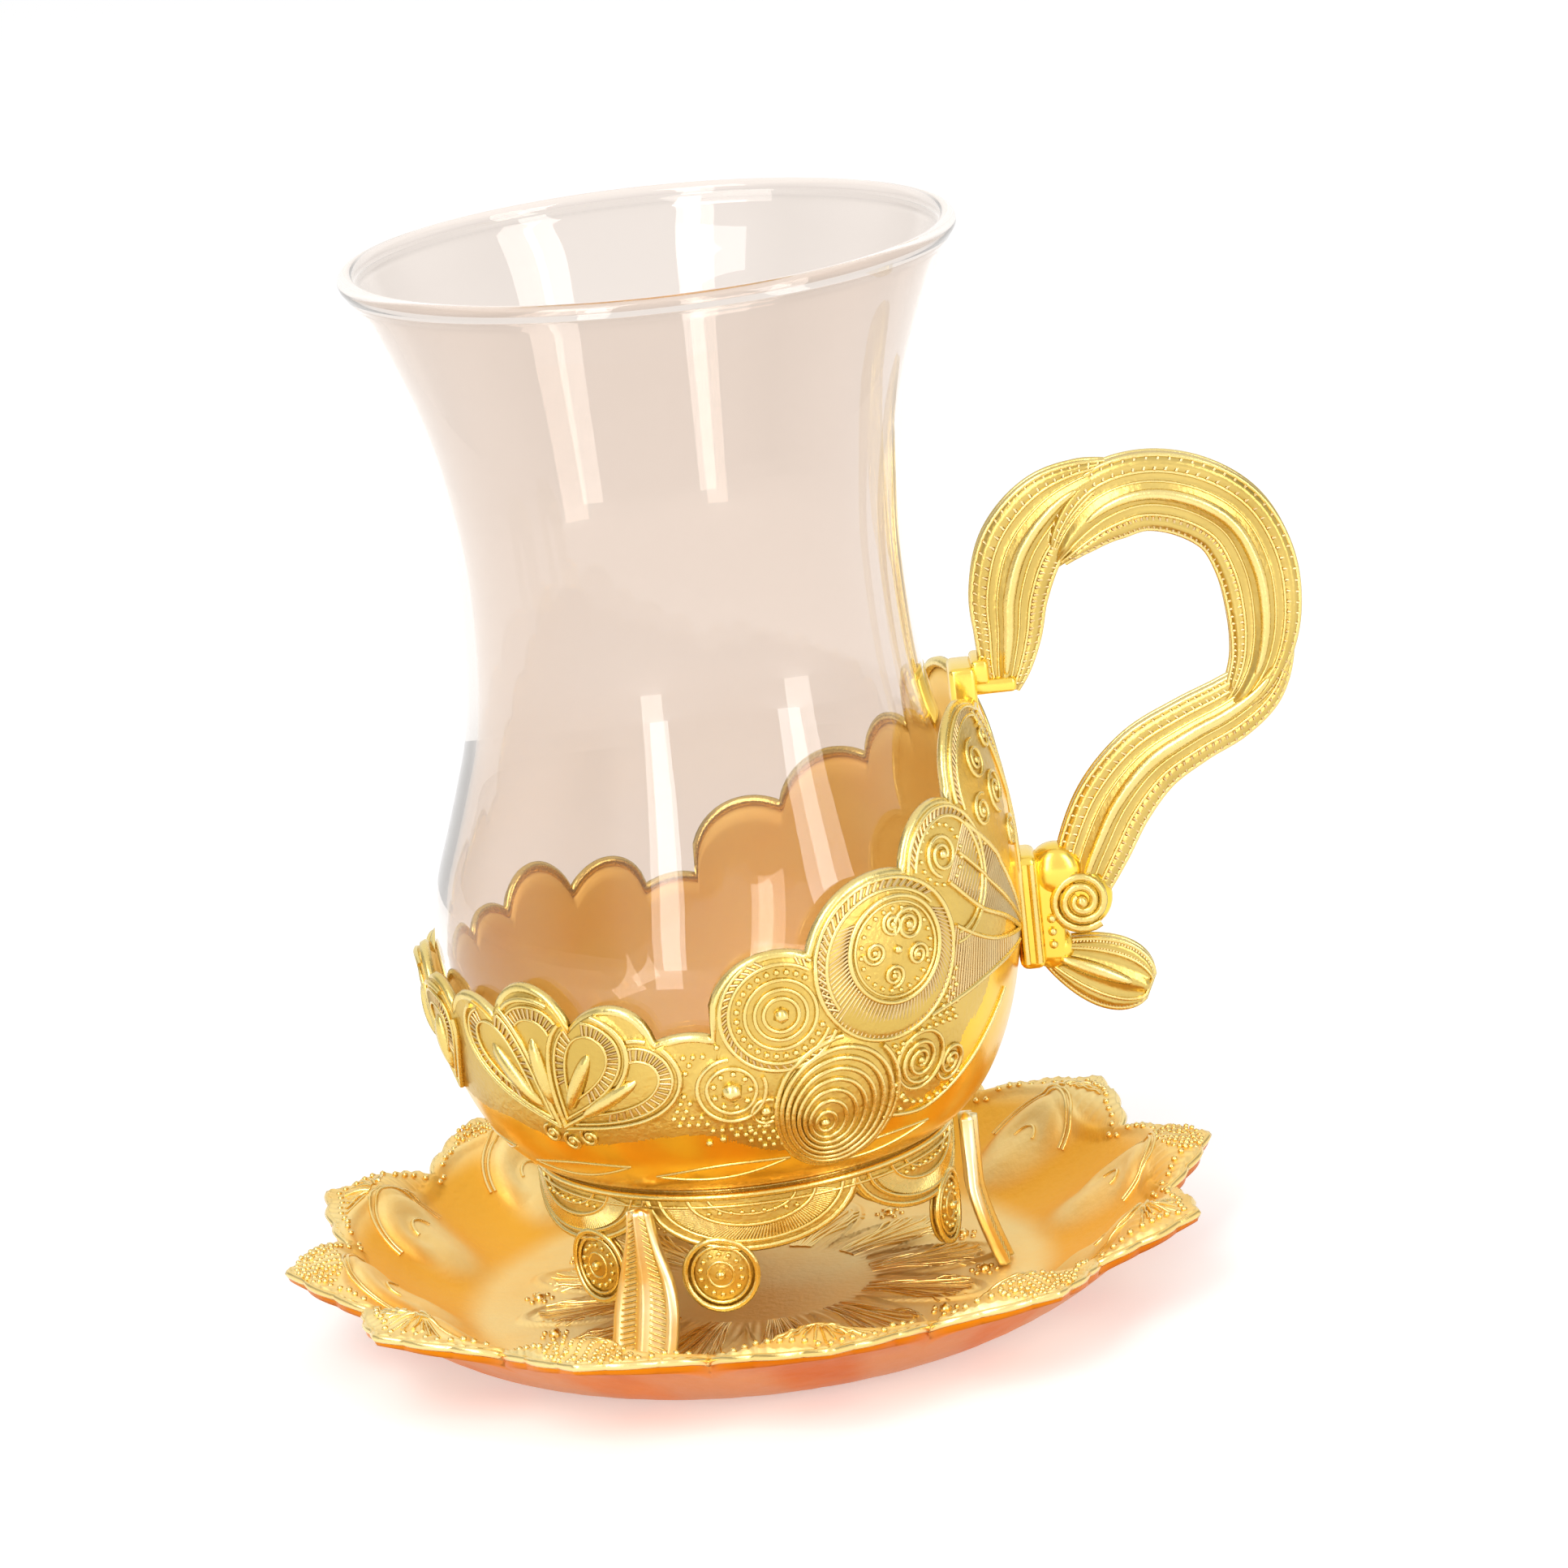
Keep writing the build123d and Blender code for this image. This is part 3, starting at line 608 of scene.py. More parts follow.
def wall_spot(length):
    """Radius and height at a length up along the wall, and the direction out of it."""
    k = min(max(bisect_right(wall_lengths, length), 1), len(wall_lengths) - 1)
    along = wall_line[k] - wall_line[k - 1]
    part = (length - wall_lengths[k - 1]) / (wall_lengths[k] - wall_lengths[k - 1])
    after = wall_line[min(k + 1, len(wall_line) - 1)] - wall_line[k]
    heading = along.normalized().lerp((after if after.length else along).normalized(), part)
    return wall_line[k - 1] + along * part, Vector((heading.y, -heading.x))


def length_at(height):
    """How far up along the wall a height lies."""
    k = min(max(bisect_right([p.y for p in wall_line], height), 1), len(wall_line) - 1)
    part = (height - wall_line[k - 1].y) / (wall_line[k].y - wall_line[k - 1].y)
    return wall_lengths[k - 1] + part * (wall_lengths[k] - wall_lengths[k - 1])


def on_wall(turn, length, lift):
    """A place on the cup's wall, lifted off it."""
    spot, out = wall_spot(length)
    return polar(turn, spot.x + out.x * lift, spot.y + out.y * lift)


def flat(turn, height):
    """The wall laid flat: x runs towards the handle, y up along the wall."""
    return Vector((radians(90 - turn) * CUP_GIRTH, length_at(height)))


def in_lobe(spot, lobe, margin=0.0):
    """Whether a flat place lies in a lobe (turn, height, half width, half height, lean)."""
    away = spot - flat(lobe[0], lobe[1])
    lean = radians(lobe[4])
    across = away.x * cos(lean) - away.y * sin(lean)
    along = away.x * sin(lean) + away.y * cos(lean)
    return (across / (lobe[2] - margin)) ** 2 + (along / (lobe[3] - margin)) ** 2 < 1


EDGE_LOBES = (ROSETTE, SMALL_SPIRAL, SECOND_LEAF, TOP_LEAF) + PETAL_TIPS


def cut_edge(turn):
    """Length up the wall to its lobed edge."""
    turn = abs((turn + 180) % 360 - 180)
    rise = CUP_EDGE_LOW + EDGE_SLOPE * (CUP_WIDE * cos(radians(turn)) + 4.0)
    rise += 8.0 * (1 - smooth(6, 22, turn))
    rise = min(max(rise, CUP_EDGE_LOW), EDGE_TOP)
    best = length_at(rise)
    for lobe in EDGE_LOBES:
        for there in ((lobe[0], 180) if lobe[0] == 180 else (lobe[0], 0), (-lobe[0], 0)):
            if abs((turn - there[0] + 180) % 360 - 180) > 22:
                continue
            tilt = radians(lobe[4]) * (1 if there[0] > 0 else -1)
            away = ((there[0] - turn + 180) % 360 - 180) * pi / 180 * CUP_GIRTH
            a = (sin(tilt) / lobe[2]) ** 2 + (cos(tilt) / lobe[3]) ** 2
            b = 2 * -away * sin(tilt) * cos(tilt) * (1 / lobe[3] ** 2 - 1 / lobe[2] ** 2)
            c = away ** 2 * ((cos(tilt) / lobe[2]) ** 2 + (sin(tilt) / lobe[3]) ** 2) - 1
            under_root = b * b - 4 * a * c
            if under_root > 0:
                best = max(best, length_at(lobe[1]) + (b + sqrt(under_root)) / (2 * a))
    return best


EDGE_TABLE = [cut_edge(quarter_turn / 4) for quarter_turn in range(1441)]


def edge_length(turn):
    place = (turn % 360) * 4
    k = int(place)
    return EDGE_TABLE[k] + (EDGE_TABLE[k + 1] - EDGE_TABLE[k]) * (place - k)


def floor_height(turn):
    """Height above which the wall is ornamented."""
    turn = abs((turn + 180) % 360 - 180)
    for (before, low), (after, high) in zip(ORNAMENT_FLOOR, ORNAMENT_FLOOR[1:]):
        if turn <= after:
            return low + (high - low) * smooth(before, after, turn)
    return ORNAMENT_FLOOR[-1][1]


PALMETTE_BASE = (128.0, 28.6)
PETALS = ((58.0, 17.2, 4.8), (30.0, 15.3, 4.8), (-7.0, 15.3, 5.1), (-38.0, 16.8, 4.8))
BACK_PETALS = ((163.0, 29.6), (180.0, 30.6))
BACK_PETAL_SHAPE = (0.0, 12.6, 4.9)


def drop_width(share):
    """Half width of a drop shape from its point (0) to its round end (1)."""
    around = acos(1 - 2 * min(max(share, 0.0), 1.0))
    return sin(around) * sin(around / 2) ** 1.2 / 0.76


def in_petal(spot, base, petal):
    """How deep a flat place lies in a petal (lean, length, half width): 1 on its midline."""
    lean = radians(petal[0])
    away = spot - base
    across = away.x * cos(lean) - away.y * sin(lean)
    along = away.x * sin(lean) + away.y * cos(lean)
    if not 0 < along < petal[1]:
        return 0.0
    return max(0.0, 1 - (across / max(petal[2] * drop_width(along / petal[1]), 0.01)) ** 2)


def wall_relief(spot):
    """How far the cast relief stands out at a place on the flat wall."""
    lift = 0.0
    for lobe, height in RAISED:
        if abs(spot.x - lobe[0]) < 11 and abs(spot.y - lobe[1]) < 11:
            away = hypot((spot.x - lobe[0]) / lobe[2], (spot.y - lobe[1]) / lobe[3])
            lift = max(lift, height * (1 - smooth(0.86, 0.99, away)) * (1 + 0.6 * (1 - away)))
    for base, petal in ALL_PETALS:
        if abs(spot.x - base.x) < 17 and -1 < spot.y - base.y < 17:
            deep = in_petal(spot, base, petal)
            lift = max(lift, 0.42 * sqrt(deep))
    return lift


RAISED = [((*flat(lobe[0], lobe[1]), lobe[2], lobe[3]), height) for lobe, height in (
    (ROSETTE, 0.40), (SMALL_SPIRAL, 0.30), (SECOND_LEAF, 0.20), (TOP_LEAF, 0.15),
    (BIG_SPIRAL, 0.30), (FLOWER, 0.20))]
ALL_PETALS = [(flat(*PALMETTE_BASE), petal) for petal in PETALS]
ALL_PETALS += [(flat(*place), BACK_PETAL_SHAPE) for place in BACK_PETALS]
CUP_OUTER_ROWS = 116
CUP_INNER_ROWS = 24
CUP_ROWS = CUP_OUTER_ROWS + CUP_INNER_ROWS
CUP_FLAT_SHARE = 0.04


def cup_place(u, v):
    """Out along the underside, up the wall to its edge and back down inside."""
    turn = 360 * u
    top = edge_length(turn)
    row = round(v * CUP_ROWS)
    if row <= CUP_OUTER_ROWS:
        part = row / CUP_OUTER_ROWS
        if part < CUP_FLAT_SHARE:
            return polar(turn, CUP_FLAT * part / CUP_FLAT_SHARE, CUP_BOTTOM)
        length = top * (part - CUP_FLAT_SHARE) / (1 - CUP_FLAT_SHARE)
        side_turn = abs((turn + 180) % 360 - 180)
        spot = Vector((radians(90 - side_turn) * CUP_GIRTH, length))
        return on_wall(turn, length, wall_relief(spot))
    part = (row - CUP_OUTER_ROWS) / CUP_INNER_ROWS
    if part == 1:
        return Vector((0, 0, CUP_BOTTOM + CUP_WALL))
    return on_wall(turn, top * (1 - part), -CUP_WALL)


cup = formed_sheet(cup_place, 640, CUP_ROWS)
for face in cup.faces:
    middle = face.calc_center_median()
    turn = degrees(atan2(middle.y, middle.x))
    outward = face.normal.x * middle.x + face.normal.y * middle.y > 0
    if not outward and middle.z > CUP_BOTTOM + 0.5:
        face.material_index = 2
    elif middle.z > floor_height(turn):
        face.material_index = 1
cup_wall = piece("cup_wall", cup, "gilt_holder", bowl_gilt, field_gilt, lining_gilt)
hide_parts("holder_cup")


# ---------------------------------------------------------------- cup ornament
# Filigree in the old wire-work style: rims of twisted wire, rings, coils, comb-lined bands and
# fields of grains. It stands proud of the wall on both sides of the cup, which mirror each other.

cup_paths = []
comb_paths = []
cup_grains = []
HIDE_ORDER = (ROSETTE, SMALL_SPIRAL, SECOND_LEAF, TOP_LEAF, BIG_SPIRAL, COILS, FLOWER)


def lay(target, outline, radius, rank=0, lift=0.1, sides=(1, -1)):
    """Lays a flat outline on the wall, leaving out what lies under the motifs before rank."""
    run = []
    for spot in [Vector(p) for p in outline] + [None]:
        turn = 90 - degrees(spot.x / CUP_GIRTH) if spot else 0
        shown = spot and not any(in_lobe(spot, lobe) for lobe in HIDE_ORDER[:rank])
        shown = shown and spot.y < edge_length(turn) - 0.15 and turn > 2.0
        if shown:
            run.append((turn, spot))
            continue
        if len(run) > 1:
            for side in sides:
                spots = [on_wall(side * t, p.y, wall_relief(p) + lift) for t, p in run]
                target.append((spots, radius))
        run = []


def strew(spots, radius, rank=0, sides=(1, -1)):
    """Sets grains on the wall at flat places that aren't under the motifs before rank."""
    for spot in spots:
        turn = 90 - degrees(spot[0] / CUP_GIRTH)
        spot = Vector(spot)
        if any(in_lobe(spot, lobe) for lobe in HIDE_ORDER[:rank]):
            continue
        if spot.y < edge_length(turn) - radius and turn > 2.0:
            for side in sides:
                cup_grains.append((on_wall(side * turn, spot.y, wall_relief(spot) + 0.08), radius))


def ring(middle, radius, start=0, end=360, squash=1.0, count=0):
    """Places on an arc round a flat middle, from start to end degrees."""
    count = count or max(int(abs(end - start) * radius / 28) + 6, 10)
    return [(middle[0] + radius * cos(radians(start + (end - start) * k / count)),
             middle[1] + squash * radius * sin(radians(start + (end - start) * k / count)))
            for k in range(count + 1)]


def coil(middle, outer, inner, start, turns):
    """A spiral from its outer end inwards."""
    count = int(abs(turns) * 22)
    return [(middle[0] + (outer + (inner - outer) * k / count) * cos(radians(
        start + 360 * turns * k / count)), middle[1] + (outer + (inner - outer) * k / count)
        * sin(radians(start + 360 * turns * k / count))) for k in range(count + 1)]


def comb(near, far, radius=0.17, rank=0):
    """Teeth between two outlines that have as many places each."""
    for a, b in zip(near, far):
        lay(comb_paths, (a, b), radius, rank, 0.06)


def swelling(count, thin, more):
    """Radii along a wire that is thin at both ends and full in its middle."""
    return [thin + more * sqrt(max(sin(pi * k / (count - 1)), 0)) for k in range(count)]


def at(lobe, x=0.0, y=0.0):
    return flat(lobe[0], lobe[1]) + Vector((x, y))


edge_turns = [k * 0.75 for k in range(481)]
edge_path = [on_wall(t, edge_length(t) - 0.1, -0.45) for t in edge_turns]
edge_path[-1] = edge_path[0]
cup_paths.append((edge_path, 0.62))

# rosette: twisted rim, thick comb crescent, coils and grains inside
core = at(ROSETTE, 0.7, 1.0)
lay(cup_paths, ring(at(ROSETTE), 8.5), 0.30)
lay(cup_paths, ring(at(ROSETTE), 7.35, 40, 210), 0.24)
comb(ring(at(ROSETTE), 8.3, 44, 205, count=26), ring(at(ROSETTE), 7.5, 50, 211, count=26), 0.24)
comb(ring(core, 5.5, 140, 395, count=62), ring(at(ROSETTE, 0, -0.1), 8.3, 150, 385, count=62))
lay(cup_paths, ring(core, 5.5), 0.30)
lay(cup_paths, ring(core, 4.9), 0.18)
lay(cup_paths, coil(core + Vector((1.7, 2.2)), 1.9, 0.5, 200, -1.9), 0.26)
for swing in (95, 175, 255, 335):
    spot = core + Vector((2.7 * cos(radians(swing)), 2.7 * sin(radians(swing))))
    lay(cup_paths, coil(spot, 1.25, 0.4, swing, 1.6), 0.24)
    strew([spot], 0.40)
strew([core, core + Vector((1.7, 2.2))], 0.55)
strew(ring(core, 4.25, 0, 345, count=23), 0.30)

# small spiral: rings round a knob, with a ring of grains between
middle = at(SMALL_SPIRAL, 0, 0.2)
for reach, radius in ((6.2, 0.28), (5.3, 0.24), (3.7, 0.24), (2.7, 0.24), (1.8, 0.26)):
    lay(cup_paths, ring(middle, reach), radius, 1)
strew(ring(middle, 4.5, 0, 350, count=27), 0.40, 1)
strew([middle], 0.95, 1)
comb(ring(middle, 5.45, 0, 354, count=44), ring(middle, 6.1, 6, 360, count=44), 0.2, 1)

# second leaf: twisted rim, a ring with a bead, and a comb band sweeping to the handle's root
lay(cup_paths, ring(at(SECOND_LEAF), 6.2, squash=1.15), 0.26, 2)
lay(cup_paths, ring(at(SECOND_LEAF), 5.3, squash=1.15), 0.22, 2)
comb(ring(at(SECOND_LEAF), 6.1, 20, 250, 1.15, 34), ring(at(SECOND_LEAF), 5.4, 26, 256, 1.15, 34),
     0.22, 2)
lay(cup_paths, coil(at(SECOND_LEAF, -1.0, 2.4), 2.3, 0.7, 250, -1.8), 0.26, 2)
strew([at(SECOND_LEAF, -1.0, 2.4)], 0.6, 2)
strew(ring(at(SECOND_LEAF, -1.0, 2.4), 3.1, 0, 340, count=17), 0.28, 2)
outer_line = through([at(SECOND_LEAF, 3.6, 4.6), at(SECOND_LEAF, 8.8, 0.0),
                      at(SECOND_LEAF, 12.8, -5.0), at(SECOND_LEAF, 16.5, -9.6)], 14)
inner_line = through([at(SECOND_LEAF, -0.8, -0.6), at(SECOND_LEAF, 4.0, -4.6),
                      at(SECOND_LEAF, 10.0, -7.4), at(SECOND_LEAF, 16.0, -10.4)], 14)
lay(cup_paths, outer_line, 0.30, 1)
lay(cup_paths, inner_line, 0.30, 1)
comb(inner_line, outer_line, 0.18, 1)
middle_line = [a.lerp(b, 0.5) for a, b in zip(inner_line, outer_line)]
lay(cup_paths, middle_line, 0.22, 1, 0.2)

# the rosette's tail: a comb band under it that runs out to the handle's root
upper_line = through([at(ROSETTE, 6.6, 3.0), at(ROSETTE, 11.0, 0.0), at(ROSETTE, 17.0, -2.6),
                      at(ROSETTE, 25.5, -4.2)], 14)
lower_line = through([at(ROSETTE, 4.2, -7.6), at(ROSETTE, 10.0, -6.6), at(ROSETTE, 17.0, -5.6),
                      at(ROSETTE, 25.5, -5.4)], 14)
lay(cup_paths, upper_line, 0.28, 1)
lay(cup_paths, lower_line, 0.30, 1)
comb(lower_line, upper_line, 0.18, 1)

# top leaf: a comb border down to the root, curls and grains inside
lay(cup_paths, ring(at(TOP_LEAF), 8.1, 60, 230), 0.26, 3)
lay(cup_paths, ring(at(TOP_LEAF), 7.1, 60, 230), 0.22, 3)
comb(ring(at(TOP_LEAF), 8.0, 62, 228, count=36), ring(at(TOP_LEAF), 7.2, 68, 234, count=36),
     0.22, 3)
for x, y, outer, start, turns in ((-1.6, 2.8, 2.2, 80, 1.8), (1.6, -1.2, 2.4, 260, -1.8),
                                  (-3.4, -2.2, 1.8, 60, 1.6), (3.2, 4.2, 1.5, 120, -1.5),
                                  (4.2, -6.6, 2.0, 300, 1.6)):
    lay(cup_paths, coil(at(TOP_LEAF, x, y), outer, 0.5, start, turns), 0.25, 3)
    strew([at(TOP_LEAF, x, y)], 0.45, 3)
border_in = through([at(TOP_LEAF, 2.4, 7.2), at(TOP_LEAF, 5.6, 1.0), at(TOP_LEAF, 7.4, -6.0),
                     at(TOP_LEAF, 8.0, -13.0)], 14)
border_out = through([at(TOP_LEAF, 4.6, 7.8), at(TOP_LEAF, 8.0, 1.0), at(TOP_LEAF, 9.4, -6.0),
                      at(TOP_LEAF, 9.4, -13.0)], 14)
for line in (border_in, border_out):
    lay(cup_paths, line, 0.26)
comb(border_in, border_out)

# big ringed spiral: nested rings that bunch towards its lower left
for k in range(8):
    share = k / 8
    middle = at(BIG_SPIRAL, -2.0 * share, -1.6 * share)
    lay(cup_paths, ring(middle, 7.3 * (1 - share) ** 0.9, squash=1.1), 0.34 - 0.1 * share, 1)
strew([at(BIG_SPIRAL, -1.9, -1.5)], 0.6, 1)
lay(cup_paths, through([at(BIG_SPIRAL, -7.2, 1.5), at(BIG_SPIRAL, -5.0, 6.4),
                        at(BIG_SPIRAL, 0.5, 9.0), at(BIG_SPIRAL, 5.0, 10.6)], 8), 0.3, 2)

# two coils and their grains beside the rosette
for x, y, outer, start, turns in ((-1.9, 0.9, 2.7, 300, -2.2), (3.0, -0.6, 2.3, 200, 2.0)):
    lay(cup_paths, coil(at(COILS, x, y), outer, 0.5, start, turns), 0.28, 1)
    strew([at(COILS, x, y)], 0.5, 1)
lay(cup_paths, ring(at(COILS, -1.9, 0.9), 3.3), 0.26, 1)
strew(ring(at(COILS, 0, -0.4), 5.4, 190, 330, 0.75, 10), 0.36, 1)
lay(cup_paths, through([at(COILS, -6.8, -4.6), at(COILS, 0, -5.4), at(COILS, 7.0, -2.0),
                        at(COILS, 14.0, 4.2)], 10), 0.26, 1)

# flower: a domed knob in rings with loose grains under it
lay(cup_paths, ring(at(FLOWER), 3.6), 0.28, 5)
lay(cup_paths, ring(at(FLOWER), 2.6), 0.26, 5)
strew([at(FLOWER)], 1.25, 5)
strew(ring(at(FLOWER), 1.95, 0, 320, count=8), 0.38, 5)
lay(cup_paths, ring(at(FLOWER, 3.4, -3.0), 1.5), 0.26, 5)
strew([at(FLOWER, 3.4, -3.0)], 0.7, 5)
strew([at(FLOWER, x, -5.6 + 0.25 * x) for x in (-3.2, -1.6, 0.0, 1.6, 3.2)], 0.42, 5)

# field of grains between the motifs, from the rosette to the palmette
GRAIN_STEP = 1.02
for row in range(30):
    for column in range(60):
        spot = Vector((-9.0 + (column + 0.5 * (row % 2)) * GRAIN_STEP,
                       length_at(26.0) + row * GRAIN_STEP * 0.87))
        turn = 90 - degrees(spot.x / CUP_GIRTH)
        clear = not any(in_lobe(spot, lobe, -0.3) for lobe in HIDE_ORDER)
        clear = clear and not any(in_petal(spot, base, petal) for base, petal in ALL_PETALS)
        spot_height = wall_spot(spot.y)[0].y
        if clear and 42 < turn < 104 and spot_height > floor_height(turn) + 0.6:
            if spot.y < edge_length(turn) - 1.3:
                strew([spot], 0.36)


def petal_outline(base, petal, inset, count, low=0.0):
    """A petal's outline, drawn in from its edge, from one side of its point to the other."""
    lean = radians(petal[0])
    spots = []
    for k in range(count + 1):
        around = low * pi + (2 - 2 * low) * pi * k / count
        along = inset * 1.6 + (petal[1] - inset * 2.6) * (1 - cos(around)) / 2
        across = (petal[2] - inset) * sin(around) * sin(around / 2) ** 1.2 / 0.76
        spots.append(Vector((base.x + across * cos(lean) + along * sin(lean),
                             base.y - across * sin(lean) + along * cos(lean))))
    return spots


# palmettes: petals with a double outline, a combed tip and a smooth raised tongue
for number, (base, petal) in enumerate(ALL_PETALS):
    sides = (1,) if number == len(ALL_PETALS) - 1 else (1, -1)
    before = [p for p in ALL_PETALS[:4] if p[1][0] in (30.0, -38.0)] if number in (0, 2) else []
    for inset, radius in ((0.35, 0.32), (1.1, 0.2), (2.5, 0.18)):
        outline = petal_outline(base, petal, inset, 60)
        run = []
        for spot in outline + [None]:
            if spot and not any(in_petal(spot, *other) > 0.05 for other in before):
                run.append(spot)
            else:
                lay(cup_paths, run, radius, 2, 0.1, sides)
                run = []
    near = petal_outline(base, petal, 2.4, 30, 0.36)
    far = petal_outline(base, petal, 1.1, 30, 0.36)
    for a, b in zip(near, far):
        if not any(in_petal(b, *other) > 0.05 for other in before):
            lay(comb_paths, (a, b), 0.17, 2, 0.06, sides)
    lean = radians(petal[0])
    heading = Vector((sin(lean), cos(lean)))
    tongue = [base + heading * (petal[1] * (0.2 + 0.5 * k / 12)) for k in range(13)]
    swell = swelling(13, 0.25, 0.75)
    for side in sides:
        spots = [on_wall(side * (90 - degrees(p.x / CUP_GIRTH)), p.y, wall_relief(p) - 0.15)
                 for p in tongue]
        cup_paths.append((spots, swell))
for x, y in ((-2.6, -1.0), (0.0, -1.8), (2.6, -1.0)):
    lay(cup_paths, coil(flat(*PALMETTE_BASE) + Vector((x, y)), 1.2, 0.3, 90, 1.4), 0.24)
    strew([flat(*PALMETTE_BASE) + Vector((x, y))], 0.4)

# the bowl's seam and the thin leaves engraved on its polished lower half
seam = [polar(2 * k, wall_spot(0.9)[0].x + 0.1, wall_spot(0.9)[0].y) for k in range(181)]
seam[-1] = seam[0]
cup_paths.append((seam, 0.34))
for turn in (60, 96, 132, 168):
    for bend in (-1, 1):
        leaf = [(flat(turn, 21.0).x - 8.5 + 17.0 * k / 20, length_at(22.6) + bend * 1.1
                 * sin(pi * k / 20) + 1.6 * (k / 20) ** 2) for k in range(21)]
        lay(cup_paths, leaf, 0.16, 0, 0.0)

wires("cup_filigree", cup_paths, ornament_gilt)
wires("cup_combs", comb_paths, comb_gilt, 0)
grains("cup_grains", cup_grains, ornament_gilt, "gilt_holder")


# ---------------------------------------------------------------- handle
# A flat cast ribbon with two half turns in it, seen as three leaves that pass over each other. A
# strap holds its top to the cup's edge; below it ends in a pad, a stud, a coil and a thumb leaf.

handle_low, handle_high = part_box("handle")
LEAF_THICKNESS = 3.4
STRAP_IN, STRAP_OUT = 26.4, 29.2
STRAP_LOW, STRAP_HIGH = 61.8, 67.2
ARM_HEIGHT = 64.7
PAD_LOW, PAD_HIGH = 35.0, 46.2
PAD_OUT = 33.7
COIL_PLACE = Vector((37.9, 40.6))
COIL_RADIUS = 3.5
THUMB_ROOT = Vector((32.6, 35.6))
THUMB_TIP = Vector((44.6, 30.0))
LEAVES = (
    ("handle_leaf_up", 1.0, ((32.1, 64.0, 1.5), (32.5, 66.4, 2.6), (33.1, 70.0, 3.5),
                             (33.6, 74.2, 4.1), (35.3, 78.8, 4.4), (38.6, 82.6, 3.9),
                             (42.4, 85.0, 2.4), (46.2, 86.5, 0.4))),
    ("handle_leaf_over", 1.25, ((38.2, 76.2, 0.4), (40.6, 79.6, 2.6), (44.2, 82.4, 4.0),
                                (48.6, 83.4, 4.1), (53.4, 82.2, 4.2), (57.4, 79.2, 4.2),
                                (59.5, 74.4, 4.2), (59.9, 69.0, 3.8), (59.0, 64.4, 3.0),
                                (57.0, 61.0, 2.0), (54.2, 58.6, 0.4))),
    ("handle_leaf_down", 1.0, ((62.2, 67.6, 0.4), (61.0, 64.2, 1.5), (58.6, 61.2, 2.7),
                               (55.2, 59.0, 3.3), (51.1, 57.2, 3.5), (46.4, 54.6, 3.8), (42.6, 50.6, 4.0),
                               (40.0, 46.0, 3.8), (38.3, 42.2, 3.0), (37.6, 40.4, 1.8))),
)
handle_gilt = gilt("handle_gilt", (0.66, 0.48, 0.14), (0.56, 0.39, 0.10), 0.24, 0.30, 1500.0)


def leaf_line(stations):
    """A leaf's midline: place, half width, heading and the direction to its outer side."""
    spots = through([Vector(s) for s in stations], 16)
    line = []
    for k, spot in enumerate(spots):
        ahead = spots[min(k + 1, len(spots) - 1)] - spots[max(k - 1, 0)]
        heading = Vector((ahead.x, ahead.y)).normalized()
        line.append((Vector((spot.x, spot.y)), max(spot.z, 0.25), heading,
                     Vector((-heading.y, heading.x))))
    return line


def leaf_face(share):
    """Thickness of a leaf across its width: raised edges, a groove and a plump vein."""
    edge = max(1 - abs(share) ** 5, 0) ** 0.5
    return edge * (0.80 + 0.20 * ridge(abs(share) - 0.86, 0.22) + 0.24 * ridge(share, 0.24)
                   - 0.16 * ridge(abs(share) - 0.42, 0.2))


def leaf_body(line, thickness):
    """A closed leaf with both faces moulded."""
    def place(u, v):
        k = round(v * (len(line) - 1))
        spot, half, heading, outward = line[k]
        around = 2 * pi * u
        share = cos(around)
        deep = leaf_face(share) * thickness / 2 * min(half / 2.0, 1.0)
        side = spot + outward * half * share
        if k in (0, len(line) - 1):
            side, deep = spot, 0
        return Vector((side.x, -deep if sin(around) > 0 else deep, side.y))
    return formed_sheet(place, 44, len(line) - 1)


def on_leaf(station, share, thickness, side, lift=0.0):
    """A place on a leaf's front (side -1) or back (side 1), share across its half width."""
    spot, half, heading, outward = station
    place = spot + outward * half * share
    deep = leaf_face(share) * thickness / 2 * min(half / 2.0, 1.0) + lift
    return Vector((place.x, side * deep, place.y))


handle_paths = []
handle_combs = []
handle_grains = []
for name, plump, stations in LEAVES:
    line = leaf_line(stations)
    thickness = LEAF_THICKNESS * plump
    body = piece(name, leaf_body(line, thickness), "gilt_holder", handle_gilt)
    if name == "handle_leaf_up":
        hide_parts("handle")
    wide = [k for k, s in enumerate(line) if s[1] > 1.0]
    for side in (-1, 1):
        for share, radius, lift in ((0.95, 0.30, -0.05), (-0.95, 0.30, -0.05), (0.56, 0.19, 0.05),
                                    (-0.56, 0.19, 0.05), (0.30, 0.15, 0.03), (-0.30, 0.15, 0.03)):
            handle_paths.append(([on_leaf(line[k], share, thickness, side, lift)
                                  for k in wide[::2]], radius))
        vein = wide[len(wide) // 8:-len(wide) // 8]
        swell = swelling(len(vein), 0.2, 0.55)
        handle_paths.append(([on_leaf(line[k], 0.0, thickness, side, -0.1) for k in vein], swell))
        travelled = 0.0
        for k in wide[1:-1]:
            travelled += (line[k][0] - line[k - 1][0]).length
            if travelled < 0.72:
                continue
            travelled = 0.0
            ahead = line[min(k + 1, len(line) - 1)]
            for sign in (-1, 1):
                handle_combs.append(([on_leaf(line[k], 0.60 * sign, thickness, side, 0.06),
                                      on_leaf(ahead, 0.92 * sign, thickness, side, 0.06)], 0.21))

